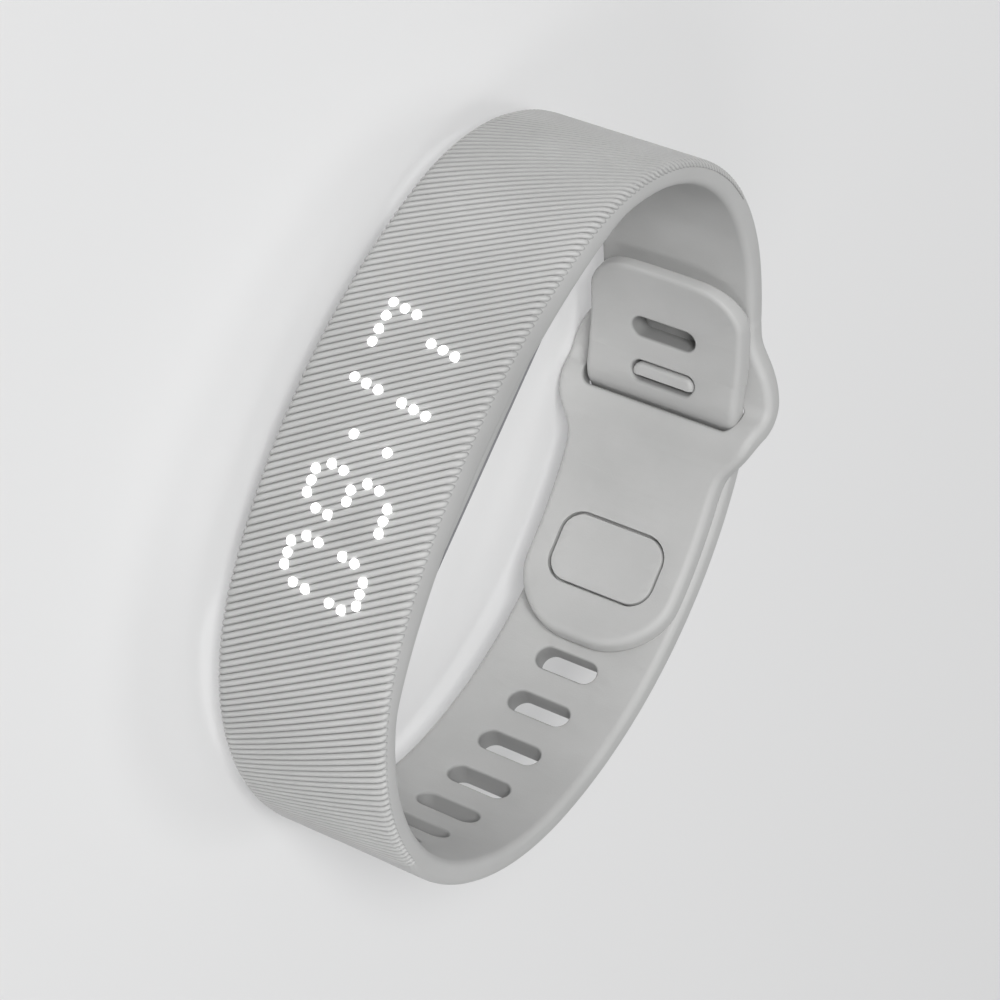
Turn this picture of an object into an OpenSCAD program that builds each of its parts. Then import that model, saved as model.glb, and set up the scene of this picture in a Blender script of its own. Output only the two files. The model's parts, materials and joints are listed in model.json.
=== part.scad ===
// Vibrating alarm wristband, closed as it is worn, lying on its side.
// The ring's axis is Z, the display faces -Y, and the origin is the middle of the ring.
// Places along the ring are given as s, the length along its outside from the middle of
// the back: s grows towards the short strap (-X side) and falls towards the long one.

/* [Ring] */
// Outside length of the closed ring along X
band_length = 68; // [66:0.5:72]
// Outside radius of the back, where the straps overlap
back_r = 37.9; // [36.8:0.1:40]
// Outside radius at the short strap's side
short_side_r = 22.9; // [22:0.1:24]
// Outside radius at the long strap's side
long_side_r = 25.2; // [24:0.1:26]
// Half angle of the front towards the short strap, degrees
short_front_angle = 22.6; // [21:0.1:24]
// Half angle of the front towards the long strap, degrees
long_front_angle = 19.2; // [18:0.1:21]

/* [Silicone band] */
// Width of the front sleeve
front_w = 17.5; // [17:0.1:20]
// Width of both straps
strap_w = 16.6; // [14.5:0.1:16.9]
// Thickness of both straps
strap_t = 2.35; // [2.1:0.05:2.6]
// Thickness of the front's rims at its middle
front_t = 4; // [3.6:0.1:4.6]
// Radius of the wrist side between the rims
pad_r = 60; // [50:1:90]
// Silicone over the case at the front
skin_t = 1.1; // [0.8:0.05:1.3]
// Angle on the short side at which the ribbed sleeve ends, degrees
sleeve_short_end = 172; // [160:1:185]
// Angle on the long side at which the ribbed sleeve ends, degrees
sleeve_long_end = 8.5; // [0:0.5:9]

/* [Closure] */
// Gap between straps that lie on each other
layer_gap = 0.15; // [0.1:0.05:0.3]
// Longest flat along a curved strap
flat_len = 1.2; // [0.8:0.1:1.6]
// Place where the straps cross in the window
cross_s = 20.3; // [19:0.1:22]
// Radius of each strap's bends where it changes layer
cross_r = 3; // [2.6:0.1:4]
// Lower edge of the window, next to the flap
window_low_s = 19.1; // [18.8:0.1:19.7]
// Upper edge of the window, next to the lock peg
window_high_s = 22.1; // [21.7:0.1:22.5]
// Room at each side of the strap in the window
window_side_gap = 0.35; // [0.25:0.05:0.5]
// Width across both ears beside the window
ear_w = 22.3; // [21.5:0.1:24]
// Radius of an ear's outline
ear_r = 9.2; // [8:0.1:11]
// Place of the ears' middle
ear_s = 21.5; // [21:0.1:22.5]
// Place where the flap starts to bend
flap_bend_s = 13.4; // [12:0.1:14]
// Place of the flap's free end
flap_end_s = -7.2; // [-9:0.1:-6]
// Corner radius of the flap's end
flap_corner_r = 6.8; // [4:0.1:8]
// Place of the tail's free end
tail_end_s = 36.4; // [34.5:0.1:38]
// Place where the tail starts to lift
tail_bend_s = 26.1; // [26:0.1:27]
// Place of the tail's own slot
tail_slot_s = 28.6; // [28.5:0.1:30]
// Corner radius of the tail's end
tail_corner_r = 4.4; // [2:0.1:7]
// Thickness of the tail at its free end
tail_tip_t = 1.3; // [1:0.05:2]
// Radius of the tail's own curve, tighter than the ring
tail_curve_r = 25; // [23:0.5:30]
// Width of a slot along the strap
slot_w = 2.4; // [2.2:0.05:3]
// Length of a slot across the strap
slot_len = 6.9; // [6:0.1:8]
// Distance from slot to slot along the outside
slot_pitch = 5.5; // [5:0.1:6.5]
// Slots in the long strap outside the window
slot_count = 11; // [7:1:11]
// Place of the slot that holds the clasp peg
clasp_slot_s = 1.6; // [1.2:0.1:2.2]
// Width of the clasp peg along the strap
clasp_peg_w = 1.7; // [1.5:0.05:1.75]
// Depth under the outside at which the clasp peg ends
clasp_peg_tip = 1; // [0.8:0.1:1.4]
// Place of the lock peg at the window's upper edge
lock_s = 23.3; // [23.3:0.1:23.5]
// Width of the lock peg along the strap
lock_peg_w = 2.3; // [2:0.05:2.35]
// Width of the slot that is stretched over the lock peg
lock_slot_w = 3; // [2.9:0.05:3.2]
// Gap between a peg and the side of its slot that pulls on it
pull_gap = 0.12; // [0.08:0.02:0.2]
// Room at a peg's ends in its slot
peg_end_gap = 0.25; // [0.2:0.05:0.5]
// Clasp plate's size along the strap
plate_len = 7.5; // [6.5:0.1:8.5]
// Clasp plate's size across the strap
plate_w = 11.1; // [9:0.1:12]
// Clasp plate's thickness
plate_t = 1.2; // [0.9:0.05:1.5]
// Clasp plate's corner radius
plate_corner_r = 2.2; // [1:0.1:3]
// Groove around the clasp plate
plate_gap = 0.25; // [0.15:0.05:0.4]

/* [Case] */
// Length of the case
case_len = 40; // [39:0.1:42]
// Width of the case
case_w = 12.6; // [12.4:0.1:13.4]
// Distance of the case's middle from the front's middle, towards the long strap
case_shift = 0.6; // [0:0.1:1]
// Corner radius of the case
case_corner_r = 3; // [2.4:0.1:4]
// Thickness of the case's side walls
case_wall = 1.1; // [1:0.05:1.2]
// Thickness of the shell under the silicone skin
shell_top_t = 0.8; // [0.7:0.05:1]
// Depth of the joint between shell and cover
joint_depth = 6.6; // [6.4:0.1:6.8]
// Depth of the cover's inside
cover_floor_depth = 7.6; // [7.5:0.1:8]
// Thickness of the cover
cover_t = 1; // [0.8:0.05:1.3]
// Height of the silicone surround over the joint
surround_lip = 0.8; // [0.4:0.1:1]
// Width of the silicone surround beside the case
surround_w = 0.65; // [0.4:0.05:0.8]
// Width of the gasket
gasket_w = 0.5; // [0.4:0.05:0.6]
// Height of the gasket
gasket_h = 0.4; // [0.3:0.05:0.6]
// Fit of parts in their seats
fit_gap = 0.05; // [0.03:0.01:0.08]

/* [Screws] */
// Distance between screws along the case
screw_span_x = 36.6; // [36.4:0.1:36.7]
// Distance between screws across the case
screw_span_z = 8.6; // [8.4:0.1:8.8]
// Screw shaft's diameter
screw_d = 1; // [0.8:0.05:1.2]
// Screw head's diameter
screw_head_d = 1.7; // [1.5:0.05:1.9]
// Screw head's height
screw_head_h = 0.5; // [0.4:0.05:0.6]
// Length of the screw under its head
screw_len = 2.5; // [2:0.1:2.6]
// Wall around a screw in the shell
boss_wall = 0.6; // [0.4:0.05:0.6]

/* [Display] */
// Light columns of one digit
led_columns = 5; // [4:1:5]
// Light rows of the display
led_rows = 7; // [5:1:7]
// Distance between columns
column_pitch = 1.04; // [0.9:0.01:1.06]
// Distance between digits of a pair
digit_pitch = 6.4; // [6.2:0.1:6.5]
// Distance between the two pairs' nearest digits
pair_gap = 8.2; // [8:0.1:8.3]
// Distance between rows
row_pitch = 1.28; // [1.1:0.01:1.28]
// Place of the display's middle, towards the long strap
display_u = 4; // [3.7:0.1:4.2]
// Slant of the columns, degrees
column_slant = 7.6; // [0:0.1:9]
// Size of one light
led_size = 0.5; // [0.3:0.05:0.6]
// Height of one light
led_h = 0.35; // [0.3:0.05:0.5]
// Height of the light grid
grid_h = 0.5; // [0.3:0.05:0.6]
// Edge of the light grid around the outer lights
grid_edge = 0.4; // [0.3:0.05:0.5]
// Size of a window in the light grid
grid_window = 0.7; // [0.65:0.05:0.8]
// Thickness of the display's flexible board
flex_t = 0.25; // [0.15:0.05:0.3]

/* [Main board] */
// Depth of the main board's face
board_depth = 4.3; // [4.2:0.05:4.35]
// Thickness of the main board
board_t = 0.6; // [0.5:0.05:0.65]
// Width of the main board
board_w = 9.6; // [9.5:0.1:9.8]
// End of the main board towards the short strap
board_short_end = -14.8; // [-15:0.1:-14]
// End of the main board towards the long strap
board_long_end = 10; // [8:0.1:10.2]
// Side of the radio controller chip
chip_size = 5; // [4:0.1:6]
// Height of the radio controller chip
chip_h = 0.75; // [0.6:0.05:0.9]
// Place of the display's connector along the board
connector_x = 7.6; // [7:0.1:8]
// Size of the display's connector along the board
connector_w = 1.6; // [1.2:0.1:1.8]
// Size of the display's connector across the board
connector_len = 5; // [4:0.1:6]
// Height of the display's connector
connector_h = 0.35; // [0.25:0.05:0.4]
// Place of the motion sensor and the crystal along the board
sensor_x = -4.4; // [-4.6:0.1:-4.2]
// Distance of the motion sensor and the crystal from the board's middle line
sensor_z = 2.6; // [2.4:0.1:2.8]
// Side of the motion sensor
sensor_size = 2; // [1.6:0.1:2.2]
// Height of the motion sensor
sensor_h = 0.6; // [0.5:0.05:0.8]
// Width of the clock crystal
crystal_w = 1.6; // [1.2:0.1:1.8]
// Length of the clock crystal
crystal_len = 3.2; // [2:0.1:3.4]
// Height of the clock crystal
crystal_h = 0.5; // [0.4:0.05:0.8]
// Place of the antenna along the board
antenna_x = -12.4; // [-12.6:0.1:-12]
// Width of the antenna
antenna_w = 1.6; // [1.2:0.1:1.8]
// Length of the antenna
antenna_len = 6; // [5:0.1:7]
// Height of the antenna
antenna_h = 0.5; // [0.4:0.05:0.5]
// Place of the charger chip along the board
charger_x = 4.6; // [4.4:0.1:4.8]
// Distance of the charger chip from the board's middle line
charger_z = 2.4; // [2.2:0.1:2.6]
// Side of the charger chip
charger_size = 2; // [1.6:0.1:2.2]
// Height of the charger chip
charger_h = 0.5; // [0.4:0.05:0.8]
// Length of a small part
passive_len = 1; // [0.8:0.1:1.2]
// Width of a small part
passive_w = 0.5; // [0.4:0.05:0.6]
// Height of a small part
passive_h = 0.3; // [0.2:0.05:0.5]
// Distance between small parts
passive_pitch = 1.2; // [1:0.05:1.3]

/* [Battery] */
// Length of the battery
battery_len = 17.6; // [14:0.1:17.8]
// Width of the battery
battery_w = 9.8; // [8:0.1:10]
// Thickness of the battery
battery_t = 2.4; // [2:0.05:2.45]
// End of the battery towards the short strap
battery_start = -5; // [-5.4:0.1:-4.6]

/* [Vibration motor] */
// Outer diameter of the motor
motor_d = 8; // [7.4:0.1:8.2]
// Height of the motor
motor_h = 2.5; // [2.45:0.01:2.55]
// Distance of the motor's axis from the front's middle
motor_x = -10.2; // [-10.4:0.1:-10]
// Wall of the motor's can
can_t = 0.2; // [0.15:0.01:0.25]
// Thickness of the motor's base plate
base_t = 0.25; // [0.2:0.01:0.3]
// Diameter of the motor's shaft
shaft_d = 0.8; // [0.6:0.05:1]
// Running clearance of the rotor's bush on its shaft
bush_gap = 0.03; // [0.02:0.01:0.05]
// Height of the motor's ring magnet
ring_magnet_h = 0.5; // [0.4:0.05:0.55]
// Thickness of the rotor disc
rotor_t = 0.6; // [0.5:0.05:0.7]
// Free room around and over the rotor
rotor_gap = 0.2; // [0.15:0.01:0.25]
// Height of the eccentric weight above the rotor disc
weight_h = 0.4; // [0.3:0.05:0.45]
// Outer diameter of a coil
coil_d = 1.9; // [1.6:0.05:2]
// Inner diameter of a coil
coil_hole_d = 0.7; // [0.5:0.05:0.9]
// Height of a coil
coil_h = 0.3; // [0.2:0.05:0.4]
// Distance of a coil from the motor's axis, along the case
coil_x = 1.6; // [1.5:0.05:1.7]
// Distance of a coil from the motor's axis, across the case
coil_z = 1.5; // [1.4:0.05:1.6]
// Diameter of the commutator
commutator_d = 3; // [2.8:0.1:3.2]
// Height of the commutator
commutator_h = 0.15; // [0.1:0.01:0.2]
// Inner diameter of the ring magnet
ring_magnet_hole = 3.6; // [3.4:0.1:4]
// Distance of a brush from the motor's axis
brush_z = 1.1; // [1:0.05:1.2]

/* [Charging] */
// Distance between the two charging contacts
contact_pitch = 2.54; // [2:0.02:3]
// Diameter of a charging contact
contact_d = 1.3; // [1:0.05:1.6]
// Place of the charging contacts along the case
contact_x = 15.6; // [15.4:0.1:15.8]
// Diameter of a dock magnet
dock_magnet_d = 2; // [1.6:0.1:2]
// Height of a dock magnet
dock_magnet_h = 0.7; // [0.5:0.05:0.8]
// Distance between the two dock magnets
dock_magnet_span = 7.6; // [7.2:0.1:8]

/* [Hidden] */
$fn = 96;
TAIL_STEPS = 10;

SILICONE = [0.72, 0.72, 0.71];
PLASTIC = [0.55, 0.56, 0.57];
DARK = [0.12, 0.13, 0.14];
STEEL = [0.72, 0.73, 0.75];

// The front, the two sides and the back are arcs that meet smoothly. Their centres are
// worked out from the front's, then moved so that the ring's middle is the origin.
front_r = (band_length - short_side_r * (1 - sin(short_front_angle))
    - long_side_r * (1 - sin(long_front_angle))) / (sin(short_front_angle) + sin(long_front_angle));
short_c0 = -(front_r - short_side_r) * [sin(short_front_angle), cos(short_front_angle)];
long_c0 = (front_r - long_side_r) * [sin(long_front_angle), -cos(long_front_angle)];
sides_apart = norm(long_c0 - short_c0);
sides_dir = (long_c0 - short_c0) / sides_apart;
to_short = back_r - short_side_r;
to_long = back_r - long_side_r;
back_along = (to_short * to_short - to_long * to_long + sides_apart * sides_apart) / (2 * sides_apart);
back_down = sqrt(to_short * to_short - back_along * back_along);
back_c0 = short_c0 + back_along * sides_dir + back_down * [sides_dir[1], -sides_dir[0]];
middle = [short_c0[0] - short_side_r + long_c0[0] + long_side_r, back_c0[1] + back_r - front_r] / 2;
front_c = -middle;
short_c = short_c0 - middle;
long_c = long_c0 - middle;
back_c = back_c0 - middle;
front_y = front_c[1] - front_r;

// Angles at which the back meets the sides, and the same places as s
short_meet = atan2(short_c[1] - back_c[1], short_c[0] - back_c[0]);
long_meet = atan2(long_c[1] - back_c[1], long_c[0] - back_c[0]);
short_meet_s = (short_meet - 90) * PI / 180 * back_r;
long_meet_s = (long_meet - 90) * PI / 180 * back_r;

// Arc under a place s: its centre, its radius and the place's angle on it
function ring_arc(s) =
    s > short_meet_s ? [short_c, short_side_r, short_meet + deg(s - short_meet_s, short_side_r)] :
    s < long_meet_s ? [long_c, long_side_r, long_meet + deg(s - long_meet_s, long_side_r)] :
    [back_c, back_r, 90 + deg(s, back_r)];
function deg(length, radius) = length / radius * 180 / PI;
function along(angle) = [cos(angle), sin(angle)];

// Straps overlap in two layers, and each changes layer over the turn cross_turn
layer_step = strap_t + layer_gap;
outer_mid_r = back_r - strap_t / 2;
inner_mid_r = outer_mid_r - layer_step;
bend_in = outer_mid_r - cross_r;
bend_out = inner_mid_r + cross_r;
cross_turn = acos((bend_in * bend_in + bend_out * bend_out - 4 * cross_r * cross_r)
    / (2 * bend_in * bend_out));
cross_angle = deg(cross_s, back_r);
cross_low_s = cross_s - cross_turn / 2 * PI / 180 * back_r;
cross_high_s = cross_s + cross_turn / 2 * PI / 180 * back_r;
lean = atan((2 * cross_r - layer_step) / (outer_mid_r + inner_mid_r) / tan(cross_turn / 2));
inner_face_r = back_r - layer_step - strap_t;

bend_gap = layer_gap;
peg_len = slot_len - 2 * peg_end_gap;
clasp_s = clasp_slot_s + (slot_w - clasp_peg_w) / 2 - pull_gap;
lock_slot_s = lock_s - (lock_slot_w - lock_peg_w) / 2 + pull_gap;

cavity_w = case_w - 2 * case_wall;
cavity_len = case_len - 2 * case_wall;
shell_top_depth = skin_t + shell_top_t;
grid_bottom = shell_top_depth + grid_h;
led_bottom = grid_bottom + led_h;
flex_bottom = led_bottom + flex_t;
digits = [-pair_gap / 2 - digit_pitch, -pair_gap / 2, pair_gap / 2, pair_gap / 2 + digit_pitch];
colon_shift = -0.95;
slant = tan(column_slant);
lights = concat(
    [for (digit = digits, column = [0 : led_columns - 1], row = [0 : led_rows - 1])
        [digit + (column - (led_columns - 1) / 2) * column_pitch, row - (led_rows - 1) / 2]],
    [for (row = [-1, 1]) [colon_shift, row * 1.2]]);
display_w = (led_rows - 1) * row_pitch + led_size + 2 * grid_edge;
display_len = pair_gap + 2 * digit_pitch + (led_columns - 1) * column_pitch
    + (led_rows - 1) * row_pitch * slant + led_size + 2 * grid_edge;
cover_depth = cover_floor_depth + cover_t;
board_bottom = board_depth + board_t;
tape_t = cover_floor_depth - board_bottom - battery_t - fit_gap;
motor_tape_t = cover_floor_depth - board_bottom - motor_h - fit_gap;
motor_top = board_bottom + fit_gap;
motor_bottom = motor_top + motor_h;
ring_magnet_top = motor_bottom - base_t - ring_magnet_h;
rotor_top = motor_top + can_t + rotor_gap + weight_h;
rotor_bottom = rotor_top + rotor_t;
rotor_d = motor_d - 2 * can_t - 2 * rotor_gap;
lead_z = motor_d / 2 + 0.4;
screw_seat = cover_depth - screw_head_h;
CUT = 0.5;

module round_rect(x, y, r) {
    square([x - 2 * r, y], center = true);
    square([x, y - 2 * r], center = true);
    for (i = [-1, 1], j = [-1, 1])
        translate([i * (x / 2 - r), j * (y / 2 - r)])
            circle(r);
}

module pill(x, y) {
    square([x, y - x], center = true);
    for (j = [-1, 1])
        translate([0, j * (y - x) / 2])
            circle(x / 2);
}

// Flat strip bent around a centre from angle a to angle b
module bent_strip(centre, r_out, a, b, t = strap_t) {
    difference() {
        sector(centre, r_out, a, b);
        translate(centre)
            circle(r_out - t, $fn = 180);
    }
}

// Flat strip along the back between two places, at a depth under the outside
module back_strip(s0, s1, depth) {
    bent_strip(back_c, back_r - depth, 90 + deg(s0, back_r), 90 + deg(s1, back_r));
}

module across(w) {
    linear_extrude(w, center = true)
        children();
}

// Brings the outside at place s to the origin, outwards along +Y and falling s along +X
module at_ring(s) {
    arc = ring_arc(s);
    translate(arc[0] + arc[1] * along(arc[2]))
        rotate([0, 0, arc[2] - 90])
            children();
}

// Prism of a flat outline, from one depth to another under the outside
module inwards(depth0, depth1) {
    translate([0, -depth0, 0])
        rotate([90, 0, 0])
            linear_extrude(depth1 - depth0)
                children();
}

// Arcs of a strap's middle, each with its centre, radius, start, end and side: the side is
// 1 where the arc's centre lies towards the wrist and -1 where it lies away from it
low_angle = 90 + cross_angle - cross_turn / 2;
high_angle = 90 + cross_angle + cross_turn / 2;
long_bends = [
    [back_c + bend_in * along(low_angle), cross_r, low_angle, 180 - lean + cross_angle, 1],
    [back_c + bend_out * along(high_angle), cross_r, cross_angle - lean, high_angle - 180, -1]];
long_arcs = concat(
    [[long_c, long_side_r - strap_t / 2, sleeve_long_end, long_meet, 1],
        [back_c, outer_mid_r, long_meet, low_angle, 1]],
    long_bends,
    [[back_c, inner_mid_r, high_angle, 90 + deg(tail_bend_s, back_r), 1]]);
short_arcs = [
    [back_c, inner_mid_r, 90 + deg(flap_bend_s, back_r), low_angle, 1],
    [back_c + bend_out * along(low_angle), cross_r, low_angle + 180, 180 + lean + cross_angle, -1],
    [back_c + bend_in * along(high_angle), cross_r, lean + cross_angle, high_angle, 1],
    [back_c, outer_mid_r, high_angle, short_meet, 1],
    [short_c, short_side_r - strap_t / 2, short_meet, sleeve_short_end, 1]];

function steps(arc) = max(6, ceil(abs(arc[3] - arc[2]) * PI / 180 * arc[1] / flat_len));
function on_arc(arc, i, off) =
    arc[0] + (arc[1] + arc[4] * off) * along(arc[2] + (arc[3] - arc[2]) * i / steps(arc));
function chain(arcs, off, first = 0) =
    [for (k = [0 : len(arcs) - 1]) for (i = [(k == 0 ? first : 1) : steps(arcs[k])])
        on_arc(arcs[k], i, off)];
function back_again(points) = [for (i = [len(points) - 1 : -1 : 0]) points[i]];

module chain_strip(arcs, thickness) {
    polygon(concat(chain(arcs, thickness / 2), back_again(chain(arcs, -thickness / 2))));
}

module slot_cut(s, w, depth) {
    at_ring(s)
        inwards(depth - CUT, depth + strap_t + CUT)
            pill(w, slot_len);
}

module sector(centre, r, a, b) {
    reach = 2 * r / cos((b - a) / 4);
    translate(centre)
        intersection() {
            circle(r, $fn = 180);
            polygon([[0, 0], reach * along(a), reach * along(a + (b - a) / 4),
                reach * along((a + b) / 2), reach * along(b - (b - a) / 4), reach * along(b)]);
        }
}

// Band that the ribbed front is cut from, and the free space on its wrist side: the ring's
// inside at the straps' depth, flattened by the pad arc
sleeve_t = front_t + surround_w;
front_start = 270 - short_front_angle;
front_end = 270 + long_front_angle;
sleeve_arcs = [
    [short_c, short_side_r - sleeve_t / 2, sleeve_short_end, front_start, 1],
    [front_c, front_r - sleeve_t / 2, front_start, front_end, 1],
    [long_c, long_side_r - sleeve_t / 2, front_end, sleeve_long_end + 360, 1]];
inside_arcs = [
    [short_c, short_side_r - strap_t, short_meet, front_start, 1],
    [front_c, front_r - strap_t, front_start, front_end, 1],
    [long_c, long_side_r - strap_t, front_end, long_meet + 360, 1],
    [back_c, back_r - strap_t, long_meet, short_meet, 1]];

module sleeve_void() {
    across(2 * front_w)
        intersection() {
            polygon(chain(inside_arcs, 0, 1));
            translate([front_c[0], front_y + front_t + pad_r])
                circle(pad_r, $fn = 360);
        }
}

// The display, case and electronics share this frame: x along the front, y its depth
module in_front() {
    translate([front_c[0], front_y, 0])
        children();
}

module layer(depth0, depth1) {
    translate([0, depth1, 0])
        rotate([90, 0, 0])
            linear_extrude(depth1 - depth0)
                children();
}

// Strip concentric with the front, from u0 to u1 along the outside
module front_strip(depth0, depth1, u0, u1, w) {
    translate([0, front_r, 0])
        rotate([0, 0, deg(u0, front_r) - 90])
            rotate_extrude(angle = deg(u1 - u0, front_r))
                translate([front_r - depth1, -w / 2])
                    square([depth1 - depth0, w]);
}

module at_front(u, z) {
    translate([0, front_r, 0])
        rotate([0, 0, deg(u, front_r)])
            translate([0, -front_r, z])
                children();
}

module block(x, depth0, depth1, z, size_x, size_z) {
    translate([x - size_x / 2, depth0, z - size_z / 2])
        cube([size_x, depth1 - depth0, size_z]);
}

module rod(x, z, d, depth0, depth1) {
    translate([x, depth0, z])
        rotate([-90, 0, 0])
            cylinder(d = d, h = depth1 - depth0, $fn = 48);
}

module case_outline(inset) {
    translate([case_shift, 0])
        round_rect(case_len - 2 * inset, case_w - 2 * inset, case_corner_r - inset);
}

// Everything deeper than a curve that runs along under the silicone skin
module under_front(depth) {
    linear_extrude(2 * front_w, center = true)
        translate([0, front_r])
            circle(front_r - depth, $fn = 360);
}

module at_screws() {
    for (i = [-1, 1], j = [-1, 1])
        translate([case_shift + i * screw_span_x / 2, 0, j * screw_span_z / 2])
            children();
}

module front_sleeve() {
    color(SILICONE)
        difference() {
            union() {
                difference() {
                    across(front_w)
                        chain_strip(sleeve_arcs, sleeve_t);
                    sleeve_void();
                }
                in_front()
                    intersection() {
                        layer(strap_t, joint_depth + surround_lip)
                            case_outline(-surround_w);
                        under_front(strap_t);
                    }
            }
            in_front()
                intersection() {
                    layer(0, cover_depth + CUT)
                        case_outline(-fit_gap);
                    under_front(skin_t - fit_gap);
                }
        }
}

// Straps seen from outside, with both ears
module ear_outline() {
    for (j = [-1, 1])
        translate([0, j * (ear_w / 2 - ear_r)])
            circle(ear_r);
    square([2 * band_length, strap_w], center = true);
}

module short_strap() {
    color(SILICONE) {
        difference() {
            intersection() {
                across(ear_w)
                    chain_strip(short_arcs, strap_t);
                at_ring(ear_s)
                    inwards(-CUT, band_length / 2)
                        ear_outline();
            }
            across(strap_w + 2 * window_side_gap)
                chain_strip(long_bends, strap_t + 2 * layer_gap + 0.1);
            at_ring((window_low_s + window_high_s) / 2)
                inwards(-CUT, layer_step + strap_t + CUT)
                    round_rect(window_high_s - window_low_s, strap_w + 2 * window_side_gap, 1);
            bend_seat(flap_bend_s);
        }
        at_ring(lock_s)
            peg(lock_peg_w, strap_t / 2, layer_step + strap_t);
    }
}

// Rounded seat in the inner layer, in which a bending part's rounded start lies
module bend_seat(s) {
    translate(back_c + inner_mid_r * along(90 + deg(s, back_r)))
        cylinder(r = strap_t / 2 + bend_gap, h = 2 * ear_w, center = true);
}

module bend_start(s) {
    translate(back_c + inner_mid_r * along(90 + deg(s, back_r)))
        cylinder(d = strap_t, h = strap_w, center = true);
}

// Pill-shaped peg with a rounded top; it points inwards where the tip is deeper than the root
module peg(w, root, tip) {
    side = tip > root ? 1 : -1;
    inwards(min(root, tip - side * w / 2), max(root, tip - side * w / 2))
        pill(w, peg_len);
    translate([0, -tip + side * w / 2, 0]) {
        cylinder(d = w, h = peg_len - w, center = true);
        for (j = [-1, 1])
            translate([0, 0, j * (peg_len - w) / 2])
                sphere(d = w);
    }
}

module long_strap() {
    color(SILICONE)
        difference() {
            across(strap_w)
                chain_strip(long_arcs, strap_t);
            for (i = [0 : slot_count - 1])
                slot_cut(clasp_slot_s + (2 - i) * slot_pitch, slot_w, 0);
            slot_cut(lock_slot_s, lock_slot_w, layer_step);
            bend_seat(tail_bend_s);
        }
}

// The tail curves a little more than the ring, so that its end stands off the strap, and
// gets thinner behind its slot
module strap_tail() {
    tail_len = (tail_end_s - tail_bend_s) * inner_mid_r / back_r;
    tail_turn = deg(tail_len, tail_curve_r);
    thin_from = (tail_slot_s - tail_bend_s) / (tail_end_s - tail_bend_s);
    function outer(t) = tail_curve_r + strap_t / 2
        - (strap_t - tail_tip_t) * pow(max(0, t - thin_from) / (1 - thin_from), 2);
    color(SILICONE)
        difference() {
            union() {
                bend_start(tail_bend_s);
                translate(back_c)
                    rotate([0, 0, deg(tail_bend_s, back_r)])
                        translate([0, inner_mid_r - tail_curve_r, 0])
                            intersection() {
                                across(strap_w)
                                    polygon(concat(
                                        [for (i = [0 : TAIL_STEPS])
                                            outer(i / TAIL_STEPS)
                                                * along(90 + tail_turn * i / TAIL_STEPS)],
                                        [for (i = [TAIL_STEPS : -1 : 0])
                                            (tail_curve_r - strap_t / 2)
                                                * along(90 + tail_turn * i / TAIL_STEPS)]));
                                rotate([0, 0, tail_turn])
                                    translate([0, tail_curve_r + strap_t, 0])
                                        inwards(0, 4 * strap_t)
                                            translate([strap_w, 0])
                                                round_rect(2 * strap_w, strap_w + CUT,
                                                    tail_corner_r);
                            }
            }
            slot_cut(tail_slot_s, slot_w, layer_step);
        }
}

module strap_flap() {
    color(SILICONE)
        difference() {
            intersection() {
                union() {
                    across(strap_w)
                        back_strip(flap_end_s, flap_bend_s, layer_step);
                    bend_start(flap_bend_s);
                }
                at_ring(flap_end_s)
                    inwards(0, 4 * strap_t)
                        translate([-2 * strap_w, 0])
                            round_rect(4 * strap_w, strap_w + CUT, flap_corner_r);
            }
            at_ring(clasp_s) {
                inwards(layer_step + strap_t - plate_t, layer_step + strap_t + CUT)
                    round_rect(plate_len + 2 * plate_gap, plate_w + 2 * plate_gap,
                        plate_corner_r + plate_gap);
                inwards(0, layer_step + strap_t)
                    pill(clasp_peg_w + 2 * fit_gap, peg_len + 2 * fit_gap);
            }
        }
}

// Plate in the flap, level with its wrist side, with the peg that stands out through a slot
module clasp_plate() {
    color(SILICONE) {
        intersection() {
            across(strap_w)
                back_strip(clasp_s - plate_len, clasp_s + plate_len, layer_step);
            at_ring(clasp_s)
                inwards(layer_step + strap_t - plate_t, layer_step + strap_t + CUT)
                    round_rect(plate_len, plate_w, plate_corner_r);
        }
        at_ring(clasp_s)
            peg(clasp_peg_w, layer_step + strap_t - plate_t / 2, clasp_peg_tip);
    }
}

module case_shell() {
    color(PLASTIC)
        in_front()
            difference() {
                intersection() {
                    layer(0, joint_depth)
                        case_outline(0);
                    under_front(skin_t);
                }
                difference() {
                    intersection() {
                        layer(0, joint_depth + CUT)
                            case_outline(case_wall);
                        under_front(shell_top_depth);
                    }
                    at_screws()
                        rod(0, 0, screw_d + 2 * boss_wall, 0, joint_depth);
                }
                at_screws()
                    rod(0, 0, screw_d + 2 * fit_gap, screw_seat - screw_len - fit_gap,
                        joint_depth + CUT);
                layer(joint_depth - gasket_h, joint_depth + CUT)
                    difference() {
                        case_outline((case_wall - gasket_w) / 2 - fit_gap);
                        case_outline((case_wall + gasket_w) / 2 + fit_gap);
                    }
            }
}

module case_cover() {
    color(PLASTIC)
        in_front()
            difference() {
                layer(joint_depth, cover_depth)
                    case_outline(0);
                difference() {
                    layer(joint_depth - CUT, cover_floor_depth)
                        case_outline(case_wall);
                    at_screws()
                        rod(0, 0, screw_head_d + 2 * boss_wall, joint_depth, cover_depth);
                }
                at_screws() {
                    rod(0, 0, screw_d + 2 * fit_gap, joint_depth - CUT, cover_depth);
                    rod(0, 0, screw_head_d + 2 * fit_gap, screw_seat, cover_depth + CUT);
                }
                for (j = [-1, 1])
                    rod(contact_x, j * contact_pitch / 2, contact_d + 2 * fit_gap,
                        joint_depth, cover_depth + CUT);
            }
}

module cover_gasket() {
    color(DARK)
        in_front()
            layer(joint_depth - gasket_h, joint_depth)
                difference() {
                    case_outline((case_wall - gasket_w) / 2);
                    case_outline((case_wall + gasket_w) / 2);
                }
}

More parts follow.
